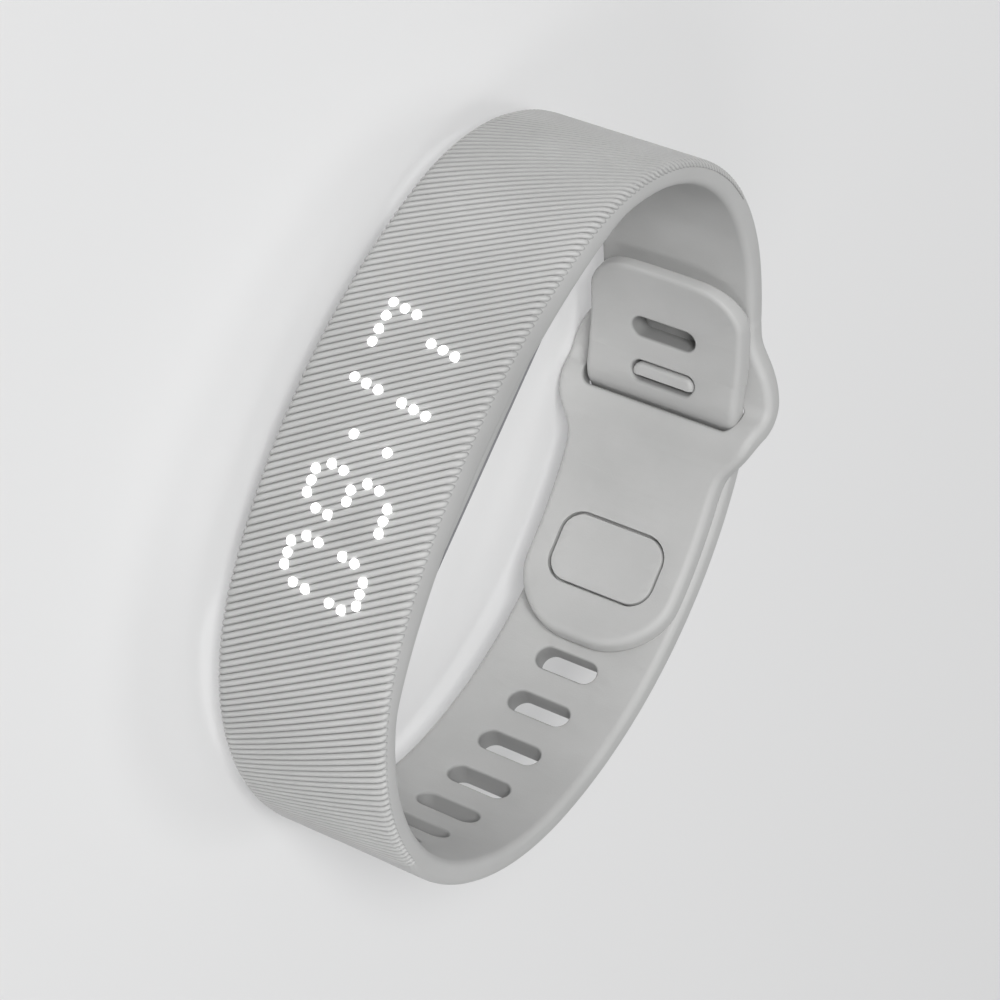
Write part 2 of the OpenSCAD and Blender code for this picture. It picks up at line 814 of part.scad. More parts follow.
module cover_screws() {
    color(STEEL)
        in_front()
            at_screws()
                difference() {
                    union() {
                        rod(0, 0, screw_d, screw_seat - screw_len, screw_seat + fit_gap);
                        rod(0, 0, screw_head_d, screw_seat, cover_depth);
                    }
                    for (turn = [0, 90])
                        translate([0, cover_depth - screw_head_h / 2, 0])
                            rotate([0, turn, 0])
                                translate([-screw_head_d / 3, 0, -0.1])
                                    cube([screw_head_d / 1.5, screw_head_h, 0.2]);
                }
}

module at_lights() {
    for (light = lights)
        at_front(display_u + light[0] + light[1] * row_pitch * slant, light[1] * row_pitch)
            children();
}

module display_strip(depth0, depth1) {
    front_strip(depth0, depth1, display_u - display_len / 2, display_u + display_len / 2,
        display_w);
}

// Black mask with one window over each light
module light_grid() {
    color(DARK)
        in_front()
            difference() {
                display_strip(shell_top_depth, grid_bottom);
                at_lights()
                    translate([-grid_window / 2, shell_top_depth - CUT, -grid_window / 2])
                        cube([grid_window, grid_h + 2 * CUT, grid_window]);
            }
}

module display_lights() {
    color("white")
        in_front()
            at_lights()
                translate([-led_size / 2, grid_bottom, -led_size / 2])
                    cube([led_size, led_h, led_size]);
}

module display_board() {
    color([0.75, 0.5, 0.2])
        in_front()
            display_strip(led_bottom, flex_bottom);
}

module display_connector() {
    color(DARK)
        in_front()
            block(connector_x, board_depth - connector_h, board_depth, 0, connector_w, connector_len);
}

module main_board() {
    color([0.1, 0.35, 0.2])
        in_front()
            layer(board_depth, board_bottom)
                translate([(board_short_end + board_long_end) / 2, 0])
                    round_rect(board_long_end - board_short_end, board_w, 1);
}

module control_chip() {
    color(DARK)
        in_front()
            block(0, board_depth - chip_h, board_depth, 0, chip_size, chip_size);
}

module motion_sensor() {
    color(DARK)
        in_front()
            block(sensor_x, board_depth - sensor_h, board_depth, sensor_z, sensor_size, sensor_size);
}

module clock_crystal() {
    color(STEEL)
        in_front()
            block(sensor_x, board_depth - crystal_h, board_depth, -sensor_z, crystal_w, crystal_len);
}

module radio_antenna() {
    color("white")
        in_front()
            block(antenna_x, board_depth - antenna_h, board_depth, 0, antenna_w, antenna_len);
}

module charge_chip() {
    color(DARK)
        in_front()
            block(charger_x, board_depth - charger_h, board_depth, charger_z, charger_size,
                charger_size);
}

module board_passives() {
    color([0.6, 0.5, 0.35])
        in_front()
            for (i = [0 : 3])
                block(charger_x - 0.2, board_depth - passive_h, board_depth, -passive_pitch * i,
                    passive_len, passive_w);
}

module battery_cell() {
    color([0.8, 0.8, 0.78])
        in_front()
            layer(board_bottom + fit_gap, board_bottom + fit_gap + battery_t)
                translate([battery_start + battery_len / 2, 0])
                    round_rect(battery_len, battery_w, 1);
}

module battery_leads() {
    color([0.7, 0.15, 0.1])
        in_front()
            for (j = [-1, 1])
                block(battery_start - 0.5, board_bottom, board_bottom + 0.5, j * 1.2, 1, 0.5);
}

module battery_tape() {
    color("white")
        in_front()
            layer(cover_floor_depth - tape_t, cover_floor_depth)
                translate([battery_start + battery_len / 2, 0])
                    round_rect(battery_len - 2, battery_w - 2, 1);
}

module charge_contacts() {
    color([0.85, 0.68, 0.3])
        in_front()
            for (j = [-1, 1]) {
                rod(contact_x, j * contact_pitch / 2, contact_d, cover_floor_depth, cover_depth);
                rod(contact_x, j * contact_pitch / 2, contact_d + 0.6, cover_floor_depth - 0.25,
                    cover_floor_depth);
            }
}

module charge_flex() {
    color([0.75, 0.5, 0.2])
        in_front()
            block(contact_x, cover_floor_depth - 0.45, cover_floor_depth - 0.25, 0, 2.2,
                contact_pitch + contact_d + 0.6);
}

module dock_magnets() {
    color(STEEL)
        in_front()
            for (j = [-1, 1])
                rod(contact_x, j * dock_magnet_span / 2, dock_magnet_d,
                    cover_floor_depth - dock_magnet_h, cover_floor_depth);
}

module at_motor() {
    in_front()
        translate([motor_x, 0, 0])
            children();
}

module ring(d_out, d_in, depth0, depth1) {
    difference() {
        rod(0, 0, d_out, depth0, depth1);
        rod(0, 0, d_in, depth0 - CUT, depth1 + CUT);
    }
}

module motor_base() {
    color(STEEL)
        at_motor()
            ring(motor_d - 2 * can_t, shaft_d, motor_bottom - base_t, motor_bottom);
}

module motor_can() {
    color(STEEL)
        at_motor()
            difference() {
                rod(0, 0, motor_d, motor_top, motor_bottom);
                rod(0, 0, motor_d - 2 * can_t, motor_top + can_t, motor_bottom + CUT);
            }
}

module motor_shaft() {
    color([0.6, 0.6, 0.62])
        at_motor()
            rod(0, 0, shaft_d, motor_top + can_t, motor_bottom);
}

module motor_magnet() {
    color([0.35, 0.35, 0.37])
        at_motor()
            ring(motor_d - 2 * can_t - 0.8, ring_magnet_hole, ring_magnet_top,
                motor_bottom - base_t);
}

module motor_brushes() {
    color([0.85, 0.6, 0.3])
        at_motor()
            for (j = [-1, 1])
                block(0, rotor_bottom + rotor_gap, motor_bottom - base_t, j * brush_z, 1, 0.4);
}

module motor_tape() {
    color("white")
        at_motor()
            rod(0, 0, motor_d - 0.6, motor_bottom, cover_floor_depth);
}

module motor_leads() {
    color([0.15, 0.25, 0.6])
        in_front()
            for (i = [-1, 1]) {
                block(motor_x + i * 0.6, board_bottom, cover_floor_depth, lead_z, 0.5, 0.3);
                block(motor_x + i * 0.6, motor_bottom, cover_floor_depth, lead_z - 0.25, 0.5, 0.8);
            }
}

module rotor_disc() {
    color([0.2, 0.2, 0.22])
        at_motor()
            ring(rotor_d, shaft_d + 2 * bush_gap, rotor_top, rotor_bottom);
}

module rotor_weight() {
    color([0.5, 0.5, 0.52])
        at_motor()
            intersection() {
                ring(rotor_d, shaft_d + 2.2, rotor_top - weight_h, rotor_top);
                block(0, rotor_top - 2, rotor_top + 1, -motor_d / 2 - 0.4, motor_d, motor_d);
            }
}

module rotor_coils() {
    color([0.75, 0.4, 0.15])
        at_motor()
            for (i = [-1, 1])
                translate([i * coil_x, 0, coil_z])
                    ring(coil_d, coil_hole_d, rotor_top - coil_h, rotor_top);
}

module rotor_commutator() {
    color([0.85, 0.65, 0.3])
        at_motor()
            ring(commutator_d, shaft_d + 2 * bush_gap, rotor_bottom,
                rotor_bottom + commutator_h);
}

front_sleeve();
short_strap();
long_strap();
strap_tail();
strap_flap();
clasp_plate();
case_shell();
case_cover();
cover_gasket();
cover_screws();
light_grid();
display_lights();
display_board();
display_connector();
main_board();
control_chip();
motion_sensor();
clock_crystal();
radio_antenna();
charge_chip();
board_passives();
battery_cell();
battery_leads();
battery_tape();
charge_contacts();
charge_flex();
dock_magnets();
motor_base();
motor_can();
motor_shaft();
motor_magnet();
motor_brushes();
motor_tape();
motor_leads();
rotor_disc();
rotor_weight();
rotor_coils();
rotor_commutator();
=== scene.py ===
import json
import math

import bmesh
import bpy
import numpy as np
from bpy.props import FloatProperty, FloatVectorProperty, IntProperty, PointerProperty
from mathutils import Matrix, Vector
from mathutils.kdtree import KDTree


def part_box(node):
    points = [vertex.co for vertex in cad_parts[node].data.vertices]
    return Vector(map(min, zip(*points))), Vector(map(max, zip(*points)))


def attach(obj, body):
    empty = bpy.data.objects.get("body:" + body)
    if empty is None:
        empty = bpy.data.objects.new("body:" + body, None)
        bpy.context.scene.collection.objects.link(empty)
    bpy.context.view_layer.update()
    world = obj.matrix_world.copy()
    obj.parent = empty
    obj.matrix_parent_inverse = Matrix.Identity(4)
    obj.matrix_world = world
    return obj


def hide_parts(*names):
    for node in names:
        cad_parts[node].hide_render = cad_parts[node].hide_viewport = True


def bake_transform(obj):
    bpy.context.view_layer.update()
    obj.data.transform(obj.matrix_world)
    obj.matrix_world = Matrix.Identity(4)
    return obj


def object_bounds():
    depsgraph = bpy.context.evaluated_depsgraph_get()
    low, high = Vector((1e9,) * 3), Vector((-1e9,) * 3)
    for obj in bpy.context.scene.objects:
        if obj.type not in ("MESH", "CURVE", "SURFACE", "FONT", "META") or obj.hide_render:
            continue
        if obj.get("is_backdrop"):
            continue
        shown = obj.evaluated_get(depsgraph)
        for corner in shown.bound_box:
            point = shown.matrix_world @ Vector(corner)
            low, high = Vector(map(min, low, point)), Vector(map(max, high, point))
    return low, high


bl_info = {
    "name": "Vibrating alarm wristband",
    "version": (1, 0, 0),
    "blender": (4, 5, 0),
    "location": "View3D > Sidebar > Wristband",
    "description": "Soft ribbed band, clasp and dot clock around the packed model",
    "category": "Object",
}

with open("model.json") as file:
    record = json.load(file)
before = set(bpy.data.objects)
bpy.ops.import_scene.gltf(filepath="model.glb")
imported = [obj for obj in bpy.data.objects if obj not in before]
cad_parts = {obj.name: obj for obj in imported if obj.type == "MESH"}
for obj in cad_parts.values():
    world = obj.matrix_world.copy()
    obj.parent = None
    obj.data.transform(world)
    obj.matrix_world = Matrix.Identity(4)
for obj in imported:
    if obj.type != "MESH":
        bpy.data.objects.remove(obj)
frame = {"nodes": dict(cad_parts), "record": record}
MM = 0.001
SPARE = 2 * MM  # length beyond a seam that is trimmed away
SEAM = 0.12 * MM  # a second cut this close to a seam keeps the shading beside it even
MERGE = 1e-7  # points this close to a cut count as on it
KNOWN = 1e-6  # points farther than this from all old ones are new
SHARP = math.radians(35)  # edges sharper than this aren't smoothed
PEG_EDGE = 0.45 * MM  # rounding of both pegs' edges
CLASP_PEG_T, CLASP_PEG_TIP = 2.9 * MM, 2.65 * MM  # thickness, and its tip's height
TAIL_BEND_ZONE, FLAP_BEND_ZONE = (-1.0 * MM, 1.6 * MM), (2.2 * MM, -1.8 * MM)


def number(value, text, **more):
    """A property, whose text starts with its name."""
    return FloatProperty(name=text.split(",")[0], description=text, default=value, **more)


def length(value, text):
    """A length property, given in millimetres and kept in metres."""
    return number(value * MM, text, min=0, soft_max=0.2, precision=5, unit="LENGTH")


def on_ring(value, text):
    """A place along the ring, which may lie on either side of the back's middle."""
    return number(value * MM, text + ", place along the ring", soft_min=-0.1, soft_max=0.1,
                  precision=5, unit="LENGTH")


def angle(value, text):
    return number(math.radians(value), text, subtype="ANGLE")


def colour(value, text):
    return FloatVectorProperty(name=text.split(",")[0], description=text, default=value, size=4,
                               min=0, max=1, subtype="COLOR")


class WB_RingSizes(bpy.types.PropertyGroup):
    """The closed ring and its two layers, as the solids have them."""

    ring_length: length(68, "Ring length, outside along X")
    back_r: length(37.9, "Back radius, outside")
    short_side_r: length(22.9, "Short side radius, outside beside the loop strap")
    long_side_r: length(25.2, "Long side radius, outside beside the slotted strap")
    short_front: angle(22.6, "Short front, half angle of the front on the loop side")
    long_front: angle(19.2, "Long front, half angle of the front on the slotted side")
    strap_t: length(2.35, "Strap thickness, both straps")
    layer_gap: length(0.15, "Layer gap, between straps that lie on each other")
    cross_at: on_ring(20.3, "Crossing, of the straps in the window")
    cross_r: length(3, "Crossing bend, radius")
    front_t: length(4, "Front thickness, of its rims at the middle")
    pad_r: length(60, "Pad radius, of the wrist side between the rims")


class WB_StrapSizes(bpy.types.PropertyGroup):
    """Outlines of the straps, the flap and the tail, laid out flat."""

    front_w: length(17.5, "Front width, across the ribs")
    strap_w: length(16.6, "Strap width, both straps")
    edge_r: length(0.72, "Edge rounding, of the straps")
    slot_edge_r: length(0.22, "Slot rounding, of the edges of slots and window")
    taper_start: length(28, "Taper start, from the front's middle")
    taper_end: length(58, "Taper end, from the front's middle")
    ear_w: length(22.2, "Ear width, across both ears")
    ear_r: length(9.2, "Ear radius, of an ear's outline")
    ear_at: on_ring(21.5, "Ears' middle")
    window_low: on_ring(18.95, "Window's lower edge")
    window_high: on_ring(22.2, "Window's upper edge")
    window_w: length(17.2, "Window width, across the strap")
    slot_w: length(2.35, "Slot width, along the strap")
    slot_len: length(6.55, "Slot length, across the strap")
    slot_at: on_ring(1.6, "Clasp slot, which the clasp peg fills")
    slot_pitch: length(5.5, "Slot pitch, from slot to slot")
    slot_count: IntProperty(name="Slots", description="Slots outside the window", default=11,
                            min=1, max=16)
    lock_slot_at: on_ring(23.52, "Lock slot, stretched over the lock peg")
    lock_slot_w: length(1.95, "Lock slot width, stretched")
    lock_aside: length(0.35, "Lock aside, off the tail's middle")
    tail_slot_at: on_ring(28.6, "Tail slot")
    tail_slot_w: length(2.1, "Tail slot width, along the tail")
    tail_slot_len: length(6.9, "Tail slot length, as long as the lock slot")
    tail_joint: on_ring(25.0, "Tail joint, start of the tail's piece")
    tail_bend: on_ring(26.1, "Tail bend, its hinge line")
    tail_end: on_ring(36.3, "Tail end")
    tail_corner: length(4.4, "Tail corner, radius")
    tail_curve_r: length(25, "Tail curve, radius")
    tail_aside: length(0.35, "Tail aside, upwards off the middle")
    tail_edge_r: length(0.55, "Tail rounding, of its edges")
    tail_tip_t: length(1.3, "Tail tip, thickness")
    flap_joint: on_ring(16.8, "Flap joint, end of the flap's piece")
    flap_bend: on_ring(13.4, "Flap bend, its hinge line")
    flap_end: on_ring(-7.1, "Flap end")
    flap_corner: length(6.6, "Flap corner, radius")
    peg_len: length(6.2, "Clasp peg length, across the strap")
    lock_peg_at: on_ring(23.3, "Lock peg")
    lock_peg_len: length(6.7, "Lock peg length, across the strap")
    lock_peg_w: length(1.95, "Lock peg width, along the strap")
    clasp_at: on_ring(1.83, "Clasp peg")
    clasp_peg_w: length(1.7, "Clasp peg width, along the strap")
    plate_len: length(6.9, "Plate length, along the strap")
    plate_w: length(11.1, "Plate width, across the strap")
    plate_t: length(1.2, "Plate thickness")
    plate_corner: length(2.2, "Plate corner, radius")
    plate_gap: length(0.28, "Plate groove, around the clasp plate")
    plate_up: length(0.42, "Plate shift, above its peg")


class WB_RibSizes(bpy.types.PropertyGroup):
    """Slanted ribs over the front."""

    pitch: length(0.72, "Pitch, from rib to rib along the front")
    height: length(0.22, "Height, of a rib over the skin")
    reach: length(8.95, "Reach, of a rib's ends from the front's middle line")
    slant: number(-0.615, "Slant, run along the front for each unit across")
    steeper: number(0.15, "Steeper, how much the slant falls off at bend")
    drift: number(0.04, "Drift, more at the long end's bend and less at the short")
    crowding: number(0.04, "Crowding, how much the pitch shrinks at bend")
    bend: length(43, "Bend, distance from the front's middle for these three")
    short_end: length(49, "Short end, ribbed length towards the loop strap")
    long_end: length(51, "Long end, ribbed length towards the slotted strap")
    steps: IntProperty(name="Steps", description="Stretches along one rib", default=30, min=4)

    def slant_at(self, row):
        share = row / self.bend
        return self.slant + self.drift * share + self.steeper * share ** 2

    def fanned(self, row, z):
        """Place along the front of a rib's point, from the rib's even row place and z."""
        return row * (1 - self.crowding * (row / self.bend) ** 2) + self.slant_at(row) * z

    def row_at(self, u, z):
        """The row place that lies at a point of the front, close enough for soft ends."""
        row = u - self.slant_at(u) * z
        return row * (1 + self.crowding * (row / self.bend) ** 2)


class WB_DotSizes(bpy.types.PropertyGroup):
    """Lit dots of the clock."""

    dot_d: length(0.84, "Dot, diameter on the skin")
    dot_t: length(0.3, "Dot thickness")
    row_pitch: length(1.3, "Row pitch, between dot rows")
    row_shift: length(0.07, "Row shift, of the middle row towards the near rim")
    slant: number(0.135, "Slant, lean of a digit's columns")
    glow: number(3.0, "Glow, brightness of a dot", min=0)


class WB_Finishes(bpy.types.PropertyGroup):
    """Colours of the finishes, and the tone of the silicone's painted shade."""

    silicone: colour((0.47, 0.47, 0.465, 1), "Silicone, light grey and moulded")
    silicone_dark: colour((0.42, 0.42, 0.415, 1), "Silicone shade, its darker mottling")
    # Painted shade: the silicone's colour is scaled down to this tone in grooves and on slot
    # walls.
    groove: number(0.58, "Groove tone, brightness of the silicone in grooves and slots", min=0,
                   max=1)
    floor: colour((0.81, 0.81, 0.81, 1), "Floor, pale as in a studio")


class WB_StudioSizes(bpy.types.PropertyGroup):
    """Camera and floor."""

    lens: number(127.33, "Lens, focal length on a 36 mm sensor", subtype="DISTANCE_CAMERA")
    camera_at: FloatVectorProperty(name="Camera", description="Place of the camera",
                                   default=(0.03484, -0.27802, 0.14818), subtype="TRANSLATION")
    floor_size: length(3000, "Floor size, its side")
    shadow_strength: number(0.66, "Shadow, share of the floor's shading", min=0, max=1,
                            subtype="FACTOR")


# ---- ring and its flat layout


def heading(a):
    return np.array([math.cos(a), math.sin(a)])


def eased(share):
    """Runs softly from 0 to 1."""
    share = np.clip(share, 0, 1)
    return share ** 2 * (3 - 2 * share)


def running_length(arcs, height):
    """Length along a line over the arcs, up to the start of each arc and to the end."""
    return np.concatenate([[0], np.cumsum([(r + side * height) * abs(end - start)
                                           for _, r, start, end, side in arcs])])


class Ring:
    """The middle line of the whole band, from the flap's end round to the tail's end.

    Each arc holds its centre, radius, start, end and side: the side is 1 where its centre
    lies towards the wrist. A point is given by its length along the line, its height over
    the line, away from the wrist, and its z.
    """

    def __init__(self, ring, strap):
        half = ring.strap_t / 2
        self.half = half
        turn = 2 * math.pi
        quarter = math.pi / 2
        fs, fl = ring.short_front, ring.long_front
        rs, rl = ring.short_side_r, ring.long_side_r
        front_r = ((ring.ring_length - rs * (1 - math.sin(fs)) - rl * (1 - math.sin(fl)))
                   / (math.sin(fs) + math.sin(fl)))
        short_c = -(front_r - rs) * np.array([math.sin(fs), math.cos(fs)])
        long_c = (front_r - rl) * np.array([math.sin(fl), -math.cos(fl)])
        apart = np.linalg.norm(long_c - short_c)
        way = (long_c - short_c) / apart
        a, b = ring.back_r - rs, ring.back_r - rl
        along = (a * a - b * b + apart * apart) / (2 * apart)
        back_c = (short_c + along * way
                  + math.sqrt(a * a - along * along) * np.array([way[1], -way[0]]))
        middle = np.array([short_c[0] - rs + long_c[0] + rl,
                           back_c[1] + ring.back_r - front_r]) / 2
        front_c = -middle
        short_c, long_c, back_c = short_c - middle, long_c - middle, back_c - middle
        short_meet = math.atan2(*(short_c - back_c)[::-1])
        long_meet = math.atan2(*(long_c - back_c)[::-1])
        step = ring.strap_t + ring.layer_gap
        outer = ring.back_r - half
        inner = outer - step
        bend = ring.cross_r
        bend_in, bend_out = outer - bend, inner + bend
        cross_turn = math.acos((bend_in ** 2 + bend_out ** 2 - 4 * bend ** 2)
                               / (2 * bend_in * bend_out))
        lean = math.atan((2 * bend - step) / (outer + inner) / math.tan(cross_turn / 2))
        at = ring.cross_at / ring.back_r
        low = quarter + at - cross_turn / 2
        high = quarter + at + cross_turn / 2
        flap_end = quarter + (strap.flap_end - 2 * MM) / ring.back_r
        tail_bend = quarter + strap.tail_bend / ring.back_r
        tail_c = back_c + (inner - strap.tail_curve_r) * heading(tail_bend)
        tail_turn = (strap.tail_end - strap.tail_bend + 3 * MM) * inner / ring.back_r
        front_start = 1.5 * math.pi - fs
        front_end = 1.5 * math.pi + fl
        arcs = [
            (back_c, inner, flap_end, low, 1),
            (back_c + bend_out * heading(low), bend, low + math.pi, math.pi + lean + at, -1),
            (back_c + bend_in * heading(high), bend, lean + at, high, 1),
            (back_c, outer, high, short_meet, 1),
            (short_c, rs - half, short_meet, front_start, 1),
            (front_c, front_r - half, front_start, front_end, 1),
            (long_c, rl - half, front_end, long_meet + turn, 1),
            (back_c, outer, long_meet + turn, low + turn, 1),
            (back_c + bend_in * heading(low), bend, low, math.pi - lean + at, 1),
            (back_c + bend_out * heading(high), bend, at - lean, high - math.pi, -1),
            (back_c, inner, high, tail_bend, 1),
            (tail_c, strap.tail_curve_r, tail_bend, tail_bend + tail_turn / strap.tail_curve_r, 1),
        ]
        self.starts, self.outside = running_length(arcs, 0), running_length(arcs, half)
        self.centres = np.array([arc[0] for arc in arcs])
        self.radii, self.turn_from, self.turn_to, self.sides = np.array(
            [arc[1:] for arc in arcs]).T
        self.front_r, self.front_c = front_r, front_c
        self.front_mid = self.outside[5] + fs * front_r
        self.back_mid = self.outside[7] + (quarter - long_meet) * ring.back_r
        low_s = ring.cross_at - cross_turn / 2 * ring.back_r
        high_s = ring.cross_at + cross_turn / 2 * ring.back_r
        self.short_stops = ([strap.flap_end - 2 * MM, low_s, high_s,
                             (short_meet - quarter) * ring.back_r], self.starts[[0, 1, 3, 4]])
        self.tail_stops = ([low_s, high_s, strap.tail_bend, strap.tail_bend + 1],
                           [*self.starts[[8, 10, 11]], self.starts[11] + inner / ring.back_r])
        self.aside = strap.tail_aside
        self.strap_t = ring.strap_t
        self.pad_c = np.array([front_c[0], front_c[1] - front_r + ring.front_t + ring.pad_r])
        self.pad_r = ring.pad_r

    def on_front(self, u):
        """Length along the middle line under a length along the outside of the front."""
        return np.interp(self.front_mid + u, self.outside, self.starts)

    def from_front(self, p):
        return np.interp(p, self.starts, self.outside) - self.front_mid

    def on_long(self, s):
        """The slotted strap, outside the window."""
        return np.interp(self.back_mid + s, self.outside, self.starts)

    def on_short(self, s):
        """The flap and the loop strap, through their side of the crossing."""
        return np.interp(s, *self.short_stops)

    def s_on_short(self, p):
        return np.interp(p, *self.short_stops[::-1])

    def on_tail(self, s):
        """The slotted strap's inner layer: the crossing, the locked stretch and the tail."""
        return np.interp(s, *self.tail_stops)

    def bent(self, points):
        """World places of flat points (length, z, height)."""
        p, z, h = points[:, 0], points[:, 1], points[:, 2]
        k = np.clip(np.searchsorted(self.starts, p, side="right") - 1, 0, len(self.radii) - 1)
        way = np.sign(self.turn_to - self.turn_from)[k]
        a = self.turn_from[k] + way * (p - self.starts[k]) / self.radii[k]
        r = self.radii[k] + self.sides[k] * h
        past_window = (p - self.starts[8]) / (self.starts[10] - self.starts[8])
        return np.c_[self.centres[k, 0] + r * np.cos(a), self.centres[k, 1] + r * np.sin(a),
                     z + self.aside * eased(past_window)]

    def lifted(self, height, z=0):
        """Bends flat points once they are moved away from the wrist, and along z."""
        return lambda flat: self.bent(flat + np.array([0, z, height]))

    def line_ends(self, places):
        """World places on the middle line."""
        return self.bent(np.array([(p, 0, 0) for p in places]))

    def thickness(self, p):
        """Thickness of the band: the straps', and more where the pad arc lies deeper."""
        flat = np.c_[p, 0 * p, 0 * p + self.half]
        top = self.bent(flat)[:, :2]
        flat[:, 2] -= MM
        into = (self.bent(flat)[:, :2] - top) / MM
        gap = self.pad_c - top
        near = np.einsum("ij,ij->i", gap, into)
        miss = np.einsum("ij,ij->i", gap, gap) - near ** 2
        inside = np.maximum(self.pad_r ** 2 - miss, 0)
        depth = near - np.sqrt(inside)
        front = (p > self.starts[4]) & (p < self.starts[7])
        depth = np.where(front, depth, 0)
        soft = 0.25 * MM
        more = depth - self.strap_t
        return self.strap_t + (more + np.sqrt(more ** 2 + soft ** 2)) / 2

    def cuts(self, p0, p1):
        """Places at which a flat piece is cut across, so that it can bend."""
        places = []
        for start, end, radius in zip(self.starts, self.starts[1:], self.radii):
            step = 0.25 * MM if radius < 5 * MM else MM
            count = max(2, math.ceil((end - start) / step))
            places += list(np.linspace(start, end, count + 1)[:-1])
        return [p for p in places if p0 < p < p1]


# ---- flat outlines


def turned(points, way):
    """A closed outline as an array, run anticlockwise for way 1 and clockwise for -1."""
    points = np.array(points)
    ahead = np.roll(points, -1, axis=0)
    area = np.sum(points[:, 0] * ahead[:, 1] - ahead[:, 0] * points[:, 1])
    return points if area * way > 0 else points[::-1]


def offset(points, amount):
    """A closed outline moved to its left by amount."""
    run = np.roll(points, -1, axis=0) - np.roll(points, 1, axis=0)
    run /= np.linalg.norm(run, axis=1)[:, None]
    return points + np.c_[-run[:, 1], run[:, 0]] * amount


def round_corner(centre, r, start, end, count=10):
    return [(centre[0] + r * math.cos(a), centre[1] + r * math.sin(a))
            for a in np.linspace(start, end, count)]


def rounded_box(cx, cy, w, h, r):
    points = []
    for k, (sx, sy) in enumerate([(1, 1), (-1, 1), (-1, -1), (1, -1)]):
        points += round_corner((cx + sx * (w / 2 - r), cy + sy * (h / 2 - r)), r,
                               k * math.pi / 2, (k + 1) * math.pi / 2, 9)
    return points


def pill(cx, w, h, cy=0.0):
    return (round_corner((cx, cy + h / 2 - w / 2), w / 2, 0, math.pi, 17)
            + round_corner((cx, cy + w / 2 - h / 2), w / 2, math.pi, 2 * math.pi, 17))


def flat_solid(outline, holes, thick, bevel=0.0, hole_bevel=0.0, rings=4):
    """A flat plate with holes and rounded edges, lying in X and Y around height 0."""
    bm = bmesh.new()
    layer = bm.verts.layers.float.new("open")
    rims = []
    for points, r in ([(turned(outline, 1), bevel)]
                      + [(turned(hole, -1), hole_bevel) for hole in holes]):
        turns = np.linspace(0, math.pi / 2, rings + 1) if r else [0]
        profile = [(r * (1 - math.cos(a)), thick / 2 - r * (1 - math.sin(a))) for a in turns]
        profile = [(inset, -height) for inset, height in profile[::-1]] + profile
        rows = [[bm.verts.new((x, y, height)) for x, y in offset(points, inset)]
                for inset, height in profile]
        # The "open" layer paints shade on the walls of holes: 0, the darkest, at a wall, rising to
        # 1 where its rounding meets a face; the outline's edges and unrounded holes get none.
        for (inset, _), row in zip(profile, rows):
            for vert in row:
                vert[layer] = inset / r if rims and r else 1.0
        for low, high in zip(rows, rows[1:]):
            for k in range(len(low)):
                bm.faces.new((low[k - 1], low[k], high[k], high[k - 1]))
        rims.append((rows[0], rows[-1]))
    for side in (0, 1):
        edges = [bm.edges.get((rim[side][k - 1], rim[side][k]))
                 for rim in rims for k in range(len(rim[side]))]
        bmesh.ops.triangle_fill(bm, edges=edges, use_beauty=True)
    bmesh.ops.recalc_face_normals(bm, faces=bm.faces)
    return bm


def bisect(bm, place, **clear):
    return bmesh.ops.bisect_plane(bm, geom=bm.verts[:] + bm.edges[:] + bm.faces[:], dist=MERGE,
                                  plane_co=(place, 0, 0), plane_no=(1, 0, 0), **clear)


def cut_across(bm, places):
    for place in places:
        bisect(bm, place)


def trim(bm, place, keep_above):
    """Takes away what lies before or after a place, and closes the cut."""
    cut = bisect(bm, place, clear_inner=keep_above, clear_outer=not keep_above)
    edges = [e for e in cut["geom_cut"] if isinstance(e, bmesh.types.BMEdge)]
    bmesh.ops.holes_fill(bm, edges=edges, sides=0)


def new_object(name, data):
    made = bpy.data.objects.new(name, data)
    bpy.context.scene.collection.objects.link(made)
    return made


def set_painted_light(mesh, values):
    """How much painted shade each point gets in the finish: 0 in a groove, the darkest, 1 outside
    with none; above 1 is a painted highlight.
    """
    mesh.attributes.new("open", "FLOAT", "POINT")
    mesh.attributes["open"].data.foreach_set("value", np.asarray(values, np.float32))


def shade(mesh, material):
    """One material and smooth shading, sharp only at real edges."""
    mesh.materials.clear()
    mesh.materials.append(material)
    mesh.polygons.foreach_set("use_smooth", [True] * len(mesh.polygons))
    mesh.set_sharp_from_angle(angle=SHARP)


def finish_mesh(name, bm, change=None, material=None):
    """An object from bm, once change has moved its points; in silicone unless it is told."""
    if change:
        bm.verts.ensure_lookup_table()
        flat = np.array([v.co[:] for v in bm.verts])
        for vert, place in zip(bm.verts, change(flat)):
            vert.co = place
    bmesh.ops.triangulate(bm, faces=[f for f in bm.faces if len(f.verts) > 4])
    mesh = bpy.data.meshes.new(name)
    bm.to_mesh(mesh)
    bm.free()
    shade(mesh, material or silicone())
    # Without painted shade unless some is already set.
    if "open" not in mesh.attributes:
        set_painted_light(mesh, np.ones(len(mesh.vertices)))
    return new_object(name, mesh)


def evaluated_mesh(piece):
    return bpy.data.meshes.new_from_object(
        piece.evaluated_get(bpy.context.evaluated_depsgraph_get()))


def cut_out(piece, cutter):
    """Takes the cutter away with Blender's exact solver, and leaves a plain mesh.

    The points that it adds lie on the rims of the cut, so they get no painted shade."""
    corners = [v.co for source in (piece, cutter) for v in source.data.vertices]
    known = KDTree(len(corners))
    for index, corner in enumerate(corners):
        known.insert(corner, index)
    known.balance()
    modifier = piece.modifiers.new("cut", "BOOLEAN")
    modifier.operation = "DIFFERENCE"
    modifier.solver = "EXACT"
    modifier.object = cutter
    old, mesh = piece.data, evaluated_mesh(piece)
    piece.modifiers.remove(modifier)
    piece.data = mesh
    for vert, painted_light in zip(mesh.vertices, mesh.attributes["open"].data):
        if known.find(vert.co)[2] > KNOWN:
            painted_light.value = 1
    shade(mesh, old.materials[0])
    bpy.data.meshes.remove(old)
    bpy.data.objects.remove(cutter)


def soft_max(a, b, soft):
    return (a + b + np.sqrt((a - b) ** 2 + soft ** 2)) / 2


